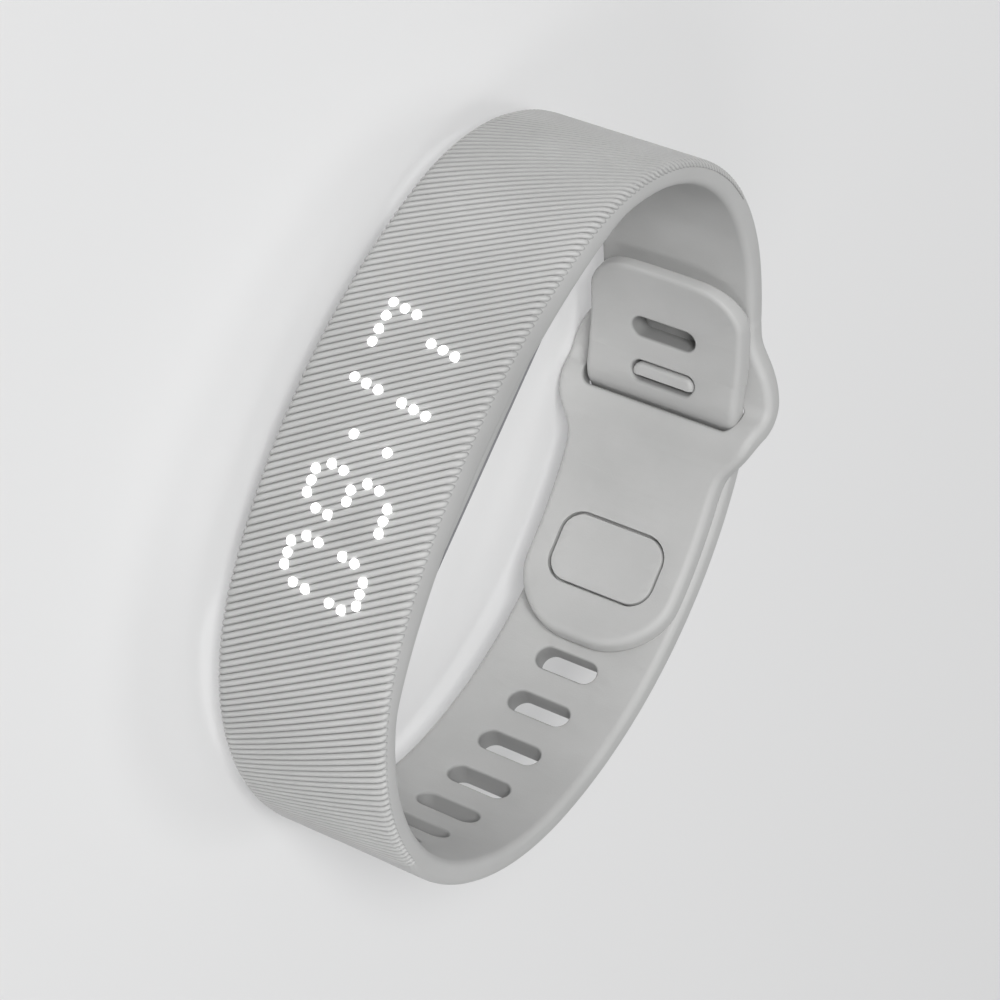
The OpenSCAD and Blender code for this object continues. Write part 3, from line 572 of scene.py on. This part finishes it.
def half_width(ring, strap, p):
    """Half the band's width at a length along the middle line."""
    soft, settle = 1.1 * MM, 0.03 * MM
    u = np.abs(ring.from_front(p))
    share = eased((u - strap.taper_start) / (strap.taper_end - strap.taper_start))
    width = strap.front_w / 2 + (strap.strap_w - strap.front_w) / 2 * share
    s = ring.s_on_short(p)
    across = strap.ear_r ** 2 - (s - strap.ear_at) ** 2
    ear = strap.ear_w / 2 - strap.ear_r + np.sqrt(np.maximum(across, 0))
    ear = np.where((across > 0) & (p < ring.starts[4]), ear, 0)
    return np.maximum(soft_max(width, ear, soft) - settle, width)


def long_outline(ring, strap, p0, p1):
    """Outline of the band between two lengths along the middle line."""
    stops = [p0, ring.on_short(strap.ear_at + strap.ear_r), p1]
    along = np.concatenate([
        np.arange(stops[0], stops[1], 0.25 * MM), np.linspace(stops[1], stops[2], 160)])
    width = half_width(ring, strap, along)
    return ([(p, w) for p, w in zip(along[::-1], width[::-1])]
            + [(p, -w) for p, w in zip(along, width)])


def free_end(width, p0, end, r, bulge):
    """Outline of a strip from p0 to a rounded free end, which may lie on either side.

    The half width is a function of the place along the strip.
    """
    way = math.copysign(1, end - p0)
    corner = end - way * r
    w = float(width(corner))
    along = np.arange(0, abs(corner - p0), 0.5 * MM)
    side = [(p0 + way * a, -float(width(p0 + way * a))) for a in along]
    turns = np.linspace(-math.pi / 2, 0, 14)
    tip = [(corner + way * r * math.cos(a), -(w - r) + r * math.sin(a)) for a in turns]
    tip += [(end, y) for y in np.linspace(-(w - r), 0, 6)[1:]]
    tip = [(x - way * bulge * (y / w) ** 2 * abs(x - corner) / r, y) for x, y in tip]
    half = side + tip
    return half + [(x, -y) for x, y in half[-2::-1]]


# ---- finishes


def feed(made, inputs):
    """Sets a node's inputs, each to a constant, a socket or a node's first output."""
    for key, value in inputs.items():
        if isinstance(value, bpy.types.Node):
            value = value.outputs[0]
        if isinstance(value, bpy.types.NodeSocket):
            made.id_data.links.new(value, made.inputs[key])
        else:
            made.inputs[key].default_value = value


def node(tree, kind, inputs=None, **values):
    """A new node to the right of the ones before it."""
    made = tree.nodes.new(kind)
    made.location = (200 * len(tree.nodes), 0)
    for key, value in values.items():
        setattr(made, key, value)
    feed(made, inputs or {})
    return made


def interface(tree, side, kinds):
    """Gives a tree sockets on one side, and returns their identifiers by label."""
    return {label: tree.interface.new_socket(
        label, in_out=side, socket_type="NodeSocket" + kind).identifier
        for label, kind in kinds.items()}


GRAIN_INPUTS = ("Grain Scale", "Grain Depth", "Patch Scale")


def grain_group():
    """Fine moulded grain: a bump normal and a slow variation, both in Object coordinates."""
    name = "moulded_grain"
    if name in bpy.data.node_groups:
        return bpy.data.node_groups[name]
    tree = bpy.data.node_groups.new(name, "ShaderNodeTree")
    interface(tree, "INPUT", {label: "Float" for label in GRAIN_INPUTS})
    interface(tree, "OUTPUT", {"Normal": "Vector", "Patches": "Float"})
    entry = node(tree, "NodeGroupInput").outputs
    place = node(tree, "ShaderNodeTexCoord").outputs["Object"]
    fine = node(tree, "ShaderNodeTexNoise",
                {"Vector": place, "Scale": entry["Grain Scale"], "Detail": 3})
    broad = node(tree, "ShaderNodeTexNoise",
                 {"Vector": place, "Scale": entry["Patch Scale"], "Detail": 5})
    bump = node(tree, "ShaderNodeBump", {
        "Strength": entry["Grain Depth"], "Height": fine, "Distance": 0.03 * MM})
    node(tree, "NodeGroupOutput", {"Normal": bump, "Patches": broad})
    return tree


def finish(name, light, dark, rough=(0.5, 0.6), metal=0, grain=4000, depth=0.3, patches=120,
           groove=1, **sockets):
    """A finish with fine grain, two slowly mixed colours and a varied roughness. With a
    groove tone under 1 it paints shade into the colour where the mesh's "open" attribute falls
    to 0, and a painted highlight where that attribute rises above 1."""
    if name in bpy.data.materials:
        return bpy.data.materials[name]
    material = bpy.data.materials.new(name)
    material.use_nodes = True
    tree = material.node_tree
    group = node(tree, "ShaderNodeGroup", node_tree=grain_group())
    feed(group, dict(zip(GRAIN_INPUTS, (grain, depth, patches))))
    patch = {"Value": group.outputs["Patches"]}
    tones = node(tree, "ShaderNodeMapRange", {**patch, "From Min": 0.35, "From Max": 0.65})
    mix = node(tree, "ShaderNodeMix", {"Factor": tones, "A": (*dark[:3], 1), "B": (*light[:3], 1)},
               data_type="RGBA")
    shine = node(tree, "ShaderNodeMapRange", {**patch, "To Min": rough[0], "To Max": rough[1]})
    tone = mix.outputs["Result"]
    if groove < 1:
        painted_light = node(tree, "ShaderNodeAttribute", attribute_name="open").outputs["Fac"]
        # Painted shade: the colour is scaled down to the groove tone where "open" is 0, and
        # brightened, a painted highlight, where it is above 1.
        deep = node(tree, "ShaderNodeMapRange", {"Value": painted_light, "To Min": groove}, clamp=False)
        tone = node(tree, "ShaderNodeVectorMath", {0: tone, "Scale": deep}, operation="SCALE")
    feed(tree.nodes["Principled BSDF"], {
        "Base Color": tone, "Roughness": shine, "Normal": group.outputs["Normal"],
        "Metallic": metal, **{key.replace("_", " "): value for key, value in sockets.items()}})
    return material


def silicone():
    look = bpy.context.scene.wb_finishes
    # groove paints shade into the silicone where its "open" attribute is low, and a painted
    # highlight where it is above 1.
    return finish("moulded_silicone", look.silicone, look.silicone_dark, rough=(0.5, 0.62),
                  grain=5200, depth=0.35, patches=70, groove=look.groove,
                  Specular_IOR_Level=0.4, Sheen_Weight=0.12, Sheen_Roughness=0.5)


def ring_of_scene():
    scene = bpy.context.scene
    return Ring(scene.wb_ring, scene.wb_strap)


# ---- pieces


class WB_OT_band(bpy.types.Operator):
    """Make the band: the front, both straps, the window, the slots and the lock peg"""

    bl_idname = "wristband.band"
    bl_label = "Band"

    def execute(self, context):
        ring, strap, ribs = ring_of_scene(), context.scene.wb_strap, context.scene.wb_ribs
        first, last = ring.on_short(strap.flap_joint), ring.on_tail(strap.tail_joint)
        holes = [pill(ring.on_long(strap.slot_at + (2 - i) * strap.slot_pitch), strap.slot_w,
                      strap.slot_len) for i in range(strap.slot_count)]
        holes.append(pill(ring.on_tail(strap.lock_slot_at), strap.lock_slot_w,
                          strap.tail_slot_len, strap.lock_aside))
        low, high = ring.on_short(strap.window_low), ring.on_short(strap.window_high)
        corner = 1.3 * MM
        holes.append(rounded_box((low + high) / 2, 0, high - low, strap.window_w, corner))
        bm = flat_solid(long_outline(ring, strap, first - SPARE, last + SPARE), holes,
                        ring.strap_t, strap.edge_r, strap.slot_edge_r)
        cut_across(bm, ring.cuts(first, last) + [first + SEAM, last - SEAM])
        trim(bm, first, True)
        trim(bm, last, False)

        def shape(flat):
            half = ring.half
            deep = ring.thickness(flat[:, 0]) - half
            h = flat[:, 2]
            height = np.where(h < 0, h * deep / half, h)
            row = ribs.row_at(ring.from_front(flat[:, 0]), flat[:, 1])
            inside = np.clip(np.minimum(row + ribs.short_end, ribs.long_end - row) / MM, 0, 1)
            height -= ribs.height * inside * np.clip(h / half, 0, 1)
            return ring.bent(np.c_[flat[:, :2], height])

        band = finish_mesh("band", bm, shape)
        cut_out(band, case_block())
        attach(band, "band")
        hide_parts("front_sleeve", "short_strap", "long_strap")

        proud = 0.12 * MM
        tip = ring.strap_t + context.scene.wb_ring.layer_gap + ring.half + proud
        bm = flat_solid(pill(ring.on_short(strap.lock_peg_at), strap.lock_peg_w,
                             strap.lock_peg_len), [], tip, PEG_EDGE)
        peg = finish_mesh("lock_peg", bm, ring.lifted(-tip / 2, ring.aside + strap.lock_aside))
        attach(peg, "band")
        return {"FINISHED"}


def case_block():
    """The closed case's outline as one solid, a hair larger, to cut its pocket."""
    hair, same = 0.1 * MM, 0.02 * MM
    bm = bmesh.new()
    for name in ("case_shell", "case_cover"):
        for vert in frame["nodes"][name].data.vertices:
            bm.verts.new(vert.co)
    bmesh.ops.remove_doubles(bm, verts=bm.verts, dist=same)
    hull = bmesh.ops.convex_hull(bm, input=bm.verts)
    inside = {v for v in hull["geom_interior"] + hull["geom_unused"]
              if isinstance(v, bmesh.types.BMVert)}
    bmesh.ops.delete(bm, geom=list(inside), context="VERTS")
    low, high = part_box("case_shell")[0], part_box("case_cover")[1]
    middle = (low + high) / 2
    grow = Matrix.Diagonal([1 + hair / side for side in high - low]).to_4x4()
    bm.transform(Matrix.Translation(middle) @ grow @ Matrix.Translation(-middle))
    return finish_mesh("case_block", bm)


class WB_OT_surround(bpy.types.Operator):
    """Make the silicone collar that holds the case"""

    bl_idname = "wristband.surround"
    bl_label = "Case collar"

    def execute(self, context):
        ring = ring_of_scene()
        low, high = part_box("case_cover")
        cx, w, h = (low.x + high.x) / 2, high.x - low.x, high.z - low.z
        wall, fit, sink, tall = 0.65 * MM, 0.04 * MM, 0.8 * MM, 2 * MM
        corner, inner_corner = 3.65 * MM, 3.04 * MM
        outer_edge, inner_edge = 0.28 * MM, 0.1 * MM
        top = low.y + sink
        outline = rounded_box(cx, 0, w + 2 * wall, h + 2 * wall, corner)
        inner = rounded_box(cx, 0, w + 2 * fit, h + 2 * fit, inner_corner)
        bm = flat_solid(outline, [inner], tall, outer_edge, inner_edge)
        cut_across(bm, np.linspace(cx - w / 2, cx + w / 2, 33))
        root = ring.front_r - 2 * MM

        def shape(flat):
            x = flat[:, 0] - ring.front_c[0]
            sunk = ring.front_c[1] - np.sqrt(root ** 2 - x ** 2)
            share = flat[:, 2] / tall + 0.5
            return np.c_[flat[:, 0], top + (sunk - top) * share, flat[:, 1]]

        collar = finish_mesh("case_collar", bm, shape)
        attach(collar, "band")
        return {"FINISHED"}


class WB_OT_tail(bpy.types.Operator):
    """Make the tail behind the lock peg"""

    bl_idname = "wristband.tail"
    bl_label = "Tail"

    def execute(self, context):
        ring, strap = ring_of_scene(), context.scene.wb_strap
        first, end = ring.on_tail(strap.tail_joint), ring.on_tail(strap.tail_end)
        outline = free_end(lambda p: strap.strap_w / 2, first - SPARE, end, strap.tail_corner,
                           bulge=0.5 * MM)
        hole = pill(ring.on_tail(strap.tail_slot_at), strap.tail_slot_w, strap.tail_slot_len)
        bm = flat_solid(outline, [hole], ring.strap_t, strap.tail_edge_r, strap.slot_edge_r)
        cut_across(bm, ring.cuts(first, end) + [first + SEAM])
        trim(bm, first, True)
        thin_from = ring.on_tail(strap.tail_slot_at)

        def shape(flat):
            share = np.maximum(flat[:, 0] - thin_from, 0) / (end - thin_from)
            thin = (ring.strap_t - strap.tail_tip_t) * share ** 2
            height = (flat[:, 2] + ring.half) * (1 - thin / ring.strap_t) - ring.half
            return ring.bent(np.c_[flat[:, :2], height])

        tail = finish_mesh("tail", bm, shape)
        ends = ring.line_ends([ring.on_tail(strap.tail_bend + a) for a in TAIL_BEND_ZONE])
        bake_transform(tail)
        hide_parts("strap_tail")
        return {"FINISHED"}


def plate_outline(ring, strap, groove=0.0):
    return rounded_box(ring.on_short(strap.clasp_at + strap.plate_up), 0,
                       strap.plate_len + 2 * groove, strap.plate_w + 2 * groove,
                       strap.plate_corner + groove)


class WB_OT_flap(bpy.types.Operator):
    """Make the clasp flap with the recess for its plate"""

    bl_idname = "wristband.flap"
    bl_label = "Clasp flap"

    def execute(self, context):
        ring, strap = ring_of_scene(), context.scene.wb_strap
        last, end = ring.on_short(strap.flap_joint), ring.on_short(strap.flap_end)
        outline = free_end(lambda p: half_width(ring, strap, p), last + SPARE, end,
                           strap.flap_corner, bulge=0.7 * MM)
        bm = flat_solid(outline, [], ring.strap_t, strap.edge_r)
        cut_across(bm, ring.cuts(end, last) + [last - SEAM])
        trim(bm, last, False)
        flap = finish_mesh("flap", bm, ring.bent)
        recess = flat_solid(plate_outline(ring, strap, strap.plate_gap), [], 2 * strap.plate_t)
        cut_across(recess, ring.cuts(end, last))
        cut_out(flap, finish_mesh("recess", recess, ring.lifted(-ring.half)))
        ends = ring.line_ends([ring.on_short(strap.flap_bend + a) for a in FLAP_BEND_ZONE])
        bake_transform(flap)
        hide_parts("strap_flap")
        return {"FINISHED"}


class WB_OT_clasp(bpy.types.Operator):
    """Make the plate in the flap with its peg"""

    bl_idname = "wristband.clasp"
    bl_label = "Clasp plate"

    def execute(self, context):
        ring, strap = ring_of_scene(), context.scene.wb_strap
        at = ring.on_short(strap.clasp_at)
        middle = ring.on_short(strap.clasp_at + strap.plate_up)
        free, edge = 0.03 * MM, 0.1 * MM
        bm = flat_solid(plate_outline(ring, strap), [], strap.plate_t - free, edge, rings=2)
        cut_across(bm, ring.cuts(middle - strap.plate_len / 2, middle + strap.plate_len / 2))
        plate = finish_mesh("clasp_plate", bm, ring.lifted(strap.plate_t / 2 - ring.half))
        bm = flat_solid(pill(at, strap.clasp_peg_w, strap.peg_len), [], CLASP_PEG_T, PEG_EDGE)
        peg = finish_mesh("clasp_peg", bm, ring.lifted(CLASP_PEG_TIP - CLASP_PEG_T / 2))
        for piece in (plate, peg):
            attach(piece, "flap")
        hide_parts("clasp_plate")
        return {"FINISHED"}


# ---- repeated pieces


SOCKET_KINDS = {int: "Int", float: "Float", bpy.types.Material: "Material"}


def repeated(name, source, title, repeat, values, smooth=True):
    """Sets a piece at many points by a node tree with the given inputs, as a plain mesh.

    repeat adds the tree's own nodes and returns the points and the piece to set there. The
    flat result comes back in metres, for its piece is laid out in millimetres."""
    tree = bpy.data.node_groups.new(title, "GeometryNodeTree")
    geometry = {"Geometry": "Geometry"}
    kinds = {label: SOCKET_KINDS[type(value)] for label, value in values.items()}
    keys = interface(tree, "INPUT", {**geometry, **kinds})
    interface(tree, "OUTPUT", geometry)
    entry = node(tree, "NodeGroupInput").outputs
    points, single = repeat(tree, entry)
    made = node(tree, "GeometryNodeInstanceOnPoints", {"Points": points, "Instance": single})
    for kind, more in [("GeometryNodeRealizeInstances", {}),
                       ("GeometryNodeSetShadeSmooth", {"Shade Smooth": smooth}),
                       ("GeometryNodeSetMaterial", {"Material": entry["Material"]}),
                       ("NodeGroupOutput", {})]:
        made = node(tree, kind, {"Geometry": made, **more})
    holder = new_object(title, source)
    modifier = holder.modifiers.new(title, "NODES")
    modifier.node_group = tree
    for label, value in values.items():
        modifier[keys[label]] = value
    holder.update_tag()
    bpy.context.view_layer.update()
    mesh = evaluated_mesh(holder)
    holder.modifiers.clear()
    bpy.data.objects.remove(holder)
    bpy.data.meshes.remove(source)
    flat = np.empty(len(mesh.vertices) * 3)
    mesh.vertices.foreach_get("co", flat)
    return new_object(name, mesh), flat.reshape(-1, 3) * MM


def slanted_ribs(tree, get):
    """A row of slanted ribs: one tapered bar, set at every pitch along X."""
    run = node(tree, "ShaderNodeMath", {0: get["Reach"], 1: get["Slant"]}, operation="MULTIPLY")
    end = node(tree, "ShaderNodeCombineXYZ", {"X": run, "Y": get["Reach"]})
    start = node(tree, "ShaderNodeVectorMath", {0: end, "Scale": -1}, operation="SCALE")
    line = node(tree, "GeometryNodeCurvePrimitiveLine", {"Start": start, "End": end})
    fine = node(tree, "GeometryNodeResampleCurve", {"Curve": line, "Count": get["Steps"]})
    along = node(tree, "GeometryNodeSplineParameter").outputs["Factor"]
    taper = node(tree, "ShaderNodeFloatCurve", {"Value": along})
    curve, tip = taper.mapping.curves[0], 0.4
    for x, point in enumerate(curve.points):
        point.location = (x, tip)
    for x, y in [(0.025, 0.95), (0.06, 1.0), (0.94, 1.0), (0.975, 0.95)]:
        curve.points.new(x, y)
    taper.mapping.update()
    profile = node(tree, "GeometryNodeCurvePrimitiveCircle", {"Resolution": 10, "Radius": 1})
    flat = node(tree, "ShaderNodeCombineXYZ", {"X": get["Width"], "Y": get["Height"], "Z": 1})
    squash = node(tree, "GeometryNodeTransform", {"Geometry": profile, "Scale": flat})
    bar = node(tree, "GeometryNodeCurveToMesh", {
        "Curve": fine, "Profile Curve": squash, "Scale": taper, "Fill Caps": True})
    step = node(tree, "ShaderNodeCombineXYZ", {"X": get["Pitch"]})
    return node(tree, "GeometryNodeMeshLine", {"Count": get["Count"], "Offset": step}), bar


class WB_OT_ribs(bpy.types.Operator):
    """Make the slanted ribs over the front"""

    bl_idname = "wristband.ribs"
    bl_label = "Ribs"

    def execute(self, context):
        ring, ribs, strap = ring_of_scene(), context.scene.wb_ribs, context.scene.wb_strap
        fill, sunk, crowd, most_turn, edge = 0.99, 0.97, 1.35, 1.25, strap.edge_r
        sharp, short_shade, far_highlight = 1.5, 3, 0.35
        slim = 0.5 * ribs.pitch / MM * math.cos(math.atan(ribs.slant)) * fill
        piece, flat = repeated(
            "front_ribs", bpy.data.meshes.new("ribs_flat"), "slanted_ribs", slanted_ribs,
            {"Count": int((ribs.short_end + ribs.long_end) / ribs.pitch),
             "Pitch": ribs.pitch / MM, "Reach": ribs.reach / MM, "Slant": ribs.slant,
             "Width": slim, "Height": ribs.height / MM, "Steps": ribs.steps,
             "Material": silicone()})
        row = flat[:, 0] - ribs.short_end - ribs.slant * flat[:, 1]
        # points crowd at a rib's ends, so that it follows the rim's rounding
        flat[:, 1] = ribs.reach * np.sin(crowd * flat[:, 1] / ribs.reach) / math.sin(crowd)
        p = ring.on_front(ribs.fanned(row, flat[:, 1]))
        out = np.maximum(np.abs(flat[:, 1]) - half_width(ring, strap, p) + edge, 0)
        turn = np.minimum(out / edge, most_turn)
        over = (edge + flat[:, 2]) * np.cos(turn) - edge
        aside = np.sign(flat[:, 1]) * ((edge + flat[:, 2]) * np.sin(turn) - out)
        height = ring.half - ribs.height * sunk + np.where(out > 0, over, flat[:, 2])
        z = flat[:, 1] + np.where(out > 0, aside, 0)
        mesh = piece.data
        mesh.vertices.foreach_set("co", ring.bent(np.c_[p, z, height]).ravel())
        # Painted shade down each rib's flanks towards the groove, reaching higher towards the
        # short end, and a painted highlight on the crests towards both ends.
        short, far = (np.clip(part / ribs.bend, 0, 1) ** 2 for part in (-row, np.abs(row)))
        ridge = np.clip(flat[:, 2] / ribs.height, 0, 1) ** (sharp + short_shade * short)
        set_painted_light(mesh, ridge * (1 + far_highlight * far))
        bm = bmesh.new()
        bm.from_mesh(mesh)
        bmesh.ops.recalc_face_normals(bm, faces=bm.faces)
        bm.to_mesh(mesh)
        bm.free()
        mesh.update()
        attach(piece, "band")
        return {"FINISHED"}


def lit_dots(dots):
    """Places (length along the front, z) of the lit dots: nine seventeen, read from +X."""
    sides = (1, 2, 4, 5)
    places = []
    for columns, rows in [
            ((12.5, 16.57), sides), ((13.53, 14.56, 15.59), (0, 6)), ((6.13,), sides),
            ((7.14, 8.2, 9.26), (0, 6)), ((7.26, 8.31), (3,)), ((10.06,), (1, 2)),
            ((3.05,), (1.7, 4.5)), ((-1.17,), (0, 1, 2, 4, 5, 6)),
            ((-4.54, -5.76, -7.06, -8.4), (0,)), ((-8.38,), (1, 2)), ((-6.75,), (4, 5, 6))]:
        heights = [(row - 3) * dots.row_pitch + dots.row_shift for row in rows]
        places += [(u * MM + dots.slant * z, z) for u in columns for z in heights]
    return places


def lit_pucks(tree, get):
    """One flat puck at every vertex."""
    radius = node(tree, "ShaderNodeMath", {0: get["Diameter"], 1: 0.5}, operation="MULTIPLY")
    puck = node(tree, "GeometryNodeMeshCylinder", {
        "Vertices": 20, "Radius": radius, "Depth": get["Thickness"]})
    return get["Geometry"], puck


class WB_OT_dots(bpy.types.Operator):
    """Make the lit dots of the clock"""

    bl_idname = "wristband.dots"
    bl_label = "Clock dots"

    def execute(self, context):
        ring, dots = ring_of_scene(), context.scene.wb_dots
        source = bpy.data.meshes.new("dots_flat")
        source.from_pydata([(u / MM, z / MM, 0) for u, z in lit_dots(dots)], [], [])
        glow = finish("clock_glow", (1, 1, 1), (0.95, 0.95, 0.95),
                      Emission_Color=(1, 1, 1, 1), Emission_Strength=dots.glow)
        piece, flat = repeated("clock_dots", source, "lit_dots", lit_pucks,
                               {"Diameter": dots.dot_d / MM, "Thickness": dots.dot_t / MM,
                                "Material": glow}, smooth=False)
        proud = 0.06 * MM
        bent = ring.bent(np.c_[ring.on_front(flat[:, 0]), flat[:, 1],
                               ring.half + proud - dots.dot_t / 2 + flat[:, 2]])
        piece.data.vertices.foreach_set("co", bent.ravel())
        piece.data.update()
        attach(piece, "band")
        return {"FINISHED"}


# ---- carried-over solids


INNER_FINISHES = {
    "case_plastic": ((0.36, 0.36, 0.355), (0.33, 0.33, 0.325), (0.42, 0.55), 0, 3000, 0.4),
    "gasket_rubber": ((0.03, 0.03, 0.03), (0.02, 0.02, 0.02), (0.6, 0.75)),
    "screw_steel": ((0.62, 0.62, 0.63), (0.5, 0.5, 0.51), (0.22, 0.38), 1, 6000, 0.15),
    "mask_plastic": ((0.02, 0.02, 0.02), (0.012, 0.012, 0.012), (0.6, 0.75)),
    "light_resin": ((0.95, 0.94, 0.85), (0.85, 0.83, 0.6), (0.25, 0.35), 0, 4000, 0.3, 900),
    "flex_film": ((0.6, 0.33, 0.08), (0.42, 0.2, 0.04), (0.25, 0.4), 0, 4000, 0.3, 400),
    "chip_resin": ((0.03, 0.03, 0.033), (0.018, 0.018, 0.02), (0.45, 0.6), 0, 7000, 0.5),
    "board_green": ((0.03, 0.2, 0.08), (0.015, 0.11, 0.045), (0.28, 0.42), 0, 4000, 0.3, 900),
    "can_metal": ((0.66, 0.65, 0.63), (0.52, 0.51, 0.5), (0.25, 0.42), 1, 5000, 0.2),
    "ceramic": ((0.75, 0.72, 0.65), (0.6, 0.56, 0.48), (0.4, 0.5), 0, 4000, 0.3, 800),
    "battery_foil": ((0.75, 0.75, 0.74), (0.6, 0.6, 0.59), (0.28, 0.48), 1, 1500, 0.6),
    "lead_red": ((0.55, 0.03, 0.02), (0.4, 0.02, 0.015), (0.35, 0.5)),
    "lead_blue": ((0.03, 0.08, 0.5), (0.02, 0.05, 0.35), (0.35, 0.5)),
    "foam": ((0.85, 0.85, 0.82), (0.74, 0.74, 0.7), (0.8, 0.9), 0, 2500, 0.9),
    "gold": ((0.9, 0.65, 0.25), (0.8, 0.54, 0.18), (0.18, 0.3), 1, 6000, 0.1),
    "magnet": ((0.5, 0.5, 0.52), (0.42, 0.42, 0.44), (0.25, 0.4), 1),
    "shaft_steel": ((0.7, 0.7, 0.71), (0.6, 0.6, 0.61), (0.15, 0.25), 1),
    "brush_copper": ((0.85, 0.5, 0.25), (0.7, 0.38, 0.17), (0.25, 0.4), 1),
    "copper": ((0.8, 0.34, 0.13), (0.55, 0.2, 0.07), (0.25, 0.4), 1, 9000, 0.9, 2500),
    "rotor_resin": ((0.04, 0.04, 0.045), (0.025, 0.025, 0.03), (0.4, 0.55)),
    "tungsten": ((0.3, 0.3, 0.32), (0.2, 0.2, 0.22), (0.4, 0.6), 1, 4500, 0.5),
}


class WB_OT_insides(bpy.types.Operator):
    """Give every carried-over solid its finish"""

    bl_idname = "wristband.insides"
    bl_label = "Case and insides"

    def execute(self, context):
        for entry in frame["record"]["subparts"]:
            slot = entry["material_slot"]
            if slot == "silicone":
                continue
            solid = frame["nodes"][entry["node"]]
            material = finish(slot, *INNER_FINISHES[slot])
            solid.data.materials.clear()
            solid.data.materials.append(material)
        return {"FINISHED"}


# ---- stage


def put(thing, place, axes):
    """Puts an object at a place, with its X, Y and Z along three axes."""
    thing.matrix_world = Matrix.Translation(place) @ Matrix(axes).transposed().to_4x4()


def area_lamp(name, place, size, power):
    """A round lamp that shines at the origin."""
    data = bpy.data.lights.new(name, "AREA")
    data.shape = "DISK"
    data.size = size
    data.energy = power
    forward = -np.array(place, float)
    forward /= np.linalg.norm(forward)
    side = np.cross(forward, (0, 0, 1))
    side /= np.linalg.norm(side)
    put(new_object(name, data), place, (side, np.cross(side, forward), -forward))


def background_ray(tree):
    """1 for the rays that show the background: straight, mirrored or through glass."""
    seen = node(tree, "ShaderNodeLightPath").outputs
    share = seen["Is Camera Ray"]
    for name in ("Is Glossy Ray", "Is Transmission Ray"):
        share = node(tree, "ShaderNodeMath", {0: share, 1: seen[name]}, operation="MAXIMUM")
    return share


def floor_finish(tone, shadows):
    """Pale floor; to the camera it is partly an even tone, so that its shadows stay soft."""
    material = finish("studio_floor", tone, [0.99 * c for c in tone[:3]], (0.8, 0.9),
                      grain=500, depth=0, patches=2)
    tree = material.node_tree
    even = node(tree, "ShaderNodeEmission", {"Color": (0.79, 0.79, 0.795, 1)})
    share = node(tree, "ShaderNodeMath", {0: background_ray(tree), 1: 1 - shadows},
                 operation="MULTIPLY")
    mix = node(tree, "ShaderNodeMixShader", {
        "Fac": share, 1: tree.nodes["Principled BSDF"], 2: even})
    feed(tree.nodes["Material Output"], {"Surface": mix})
    return material


class WB_OT_stage(bpy.types.Operator):
    """Set the floor, the lamps, the world and the camera"""

    bl_idname = "wristband.stage"
    bl_label = "Stage"

    def execute(self, context):
        scene, studio = context.scene, context.scene.wb_studio
        scene.view_settings.view_transform = "Standard"
        world = bpy.data.worlds.new("studio")
        world.use_nodes = True
        tree = world.node_tree
        lit_by, seen_as = 0.2, 0.78
        strength = node(tree, "ShaderNodeMapRange", {
            "Value": background_ray(tree), "To Min": lit_by, "To Max": seen_as})
        feed(tree.nodes["Background"], {"Color": (0.93, 0.94, 0.95, 1), "Strength": strength})
        scene.world = world

        under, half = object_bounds()[0][2] - 0.1 * MM, studio.floor_size / 2
        bm = bmesh.new()
        bm.faces.new([bm.verts.new((x * half, y * half, under))
                      for x, y in [(-1, -1), (1, -1), (1, 1), (-1, 1)]])
        floor = finish_mesh("floor", bm, material=floor_finish(
            scene.wb_finishes.floor, studio.shadow_strength))
        floor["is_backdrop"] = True

        area_lamp("key", (0, -1.3, 0.9), 0.55, 22)
        area_lamp("side", (1.1, -0.9, 0.9), 0.55, 4.5)
        area_lamp("top", (-0.3, 0.6, 1.4), 0.4, 3.2)

        data = bpy.data.cameras.new("camera")
        data.lens = studio.lens
        data.sensor_width = 36
        data.clip_start = 0.01
        camera = new_object("camera", data)
        right = (-0.40687, 0.39234, 0.82494)
        up = (-0.90699, -0.28103, -0.31368)
        back = (0.10877, -0.87584, 0.47019)
        put(camera, studio.camera_at, (right, up, back))
        scene.camera = camera
        return {"FINISHED"}


class WB_PT_panel(bpy.types.Panel):
    """Steps of the wristband, in order"""

    bl_label = "Wristband"
    bl_idname = "WB_PT_panel"
    bl_space_type = "VIEW_3D"
    bl_region_type = "UI"
    bl_category = "Wristband"

    def draw(self, context):
        for step in STEPS:
            self.layout.operator(step.bl_idname)


STEPS = (WB_OT_band, WB_OT_surround, WB_OT_tail, WB_OT_flap, WB_OT_clasp, WB_OT_ribs,
         WB_OT_dots, WB_OT_insides, WB_OT_stage)
GROUPS = (("wb_ring", WB_RingSizes), ("wb_strap", WB_StrapSizes), ("wb_ribs", WB_RibSizes),
          ("wb_dots", WB_DotSizes), ("wb_finishes", WB_Finishes), ("wb_studio", WB_StudioSizes))


def register():
    for name, group in GROUPS:
        bpy.utils.register_class(group)
        setattr(bpy.types.Scene, name, PointerProperty(type=group))
    for step in STEPS + (WB_PT_panel,):
        bpy.utils.register_class(step)


def unregister():
    for step in STEPS + (WB_PT_panel,):
        bpy.utils.unregister_class(step)
    for name, group in GROUPS:
        delattr(bpy.types.Scene, name)
        bpy.utils.unregister_class(group)


def main():
    register()
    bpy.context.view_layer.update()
    bpy.ops.wristband.band()
    bpy.ops.wristband.surround()
    bpy.ops.wristband.tail()
    bpy.ops.wristband.flap()
    bpy.ops.wristband.clasp()
    bpy.ops.wristband.ribs()
    bpy.ops.wristband.dots()
    bpy.ops.wristband.insides()
    bpy.ops.wristband.stage()


if __name__ == "__main__":
    main()
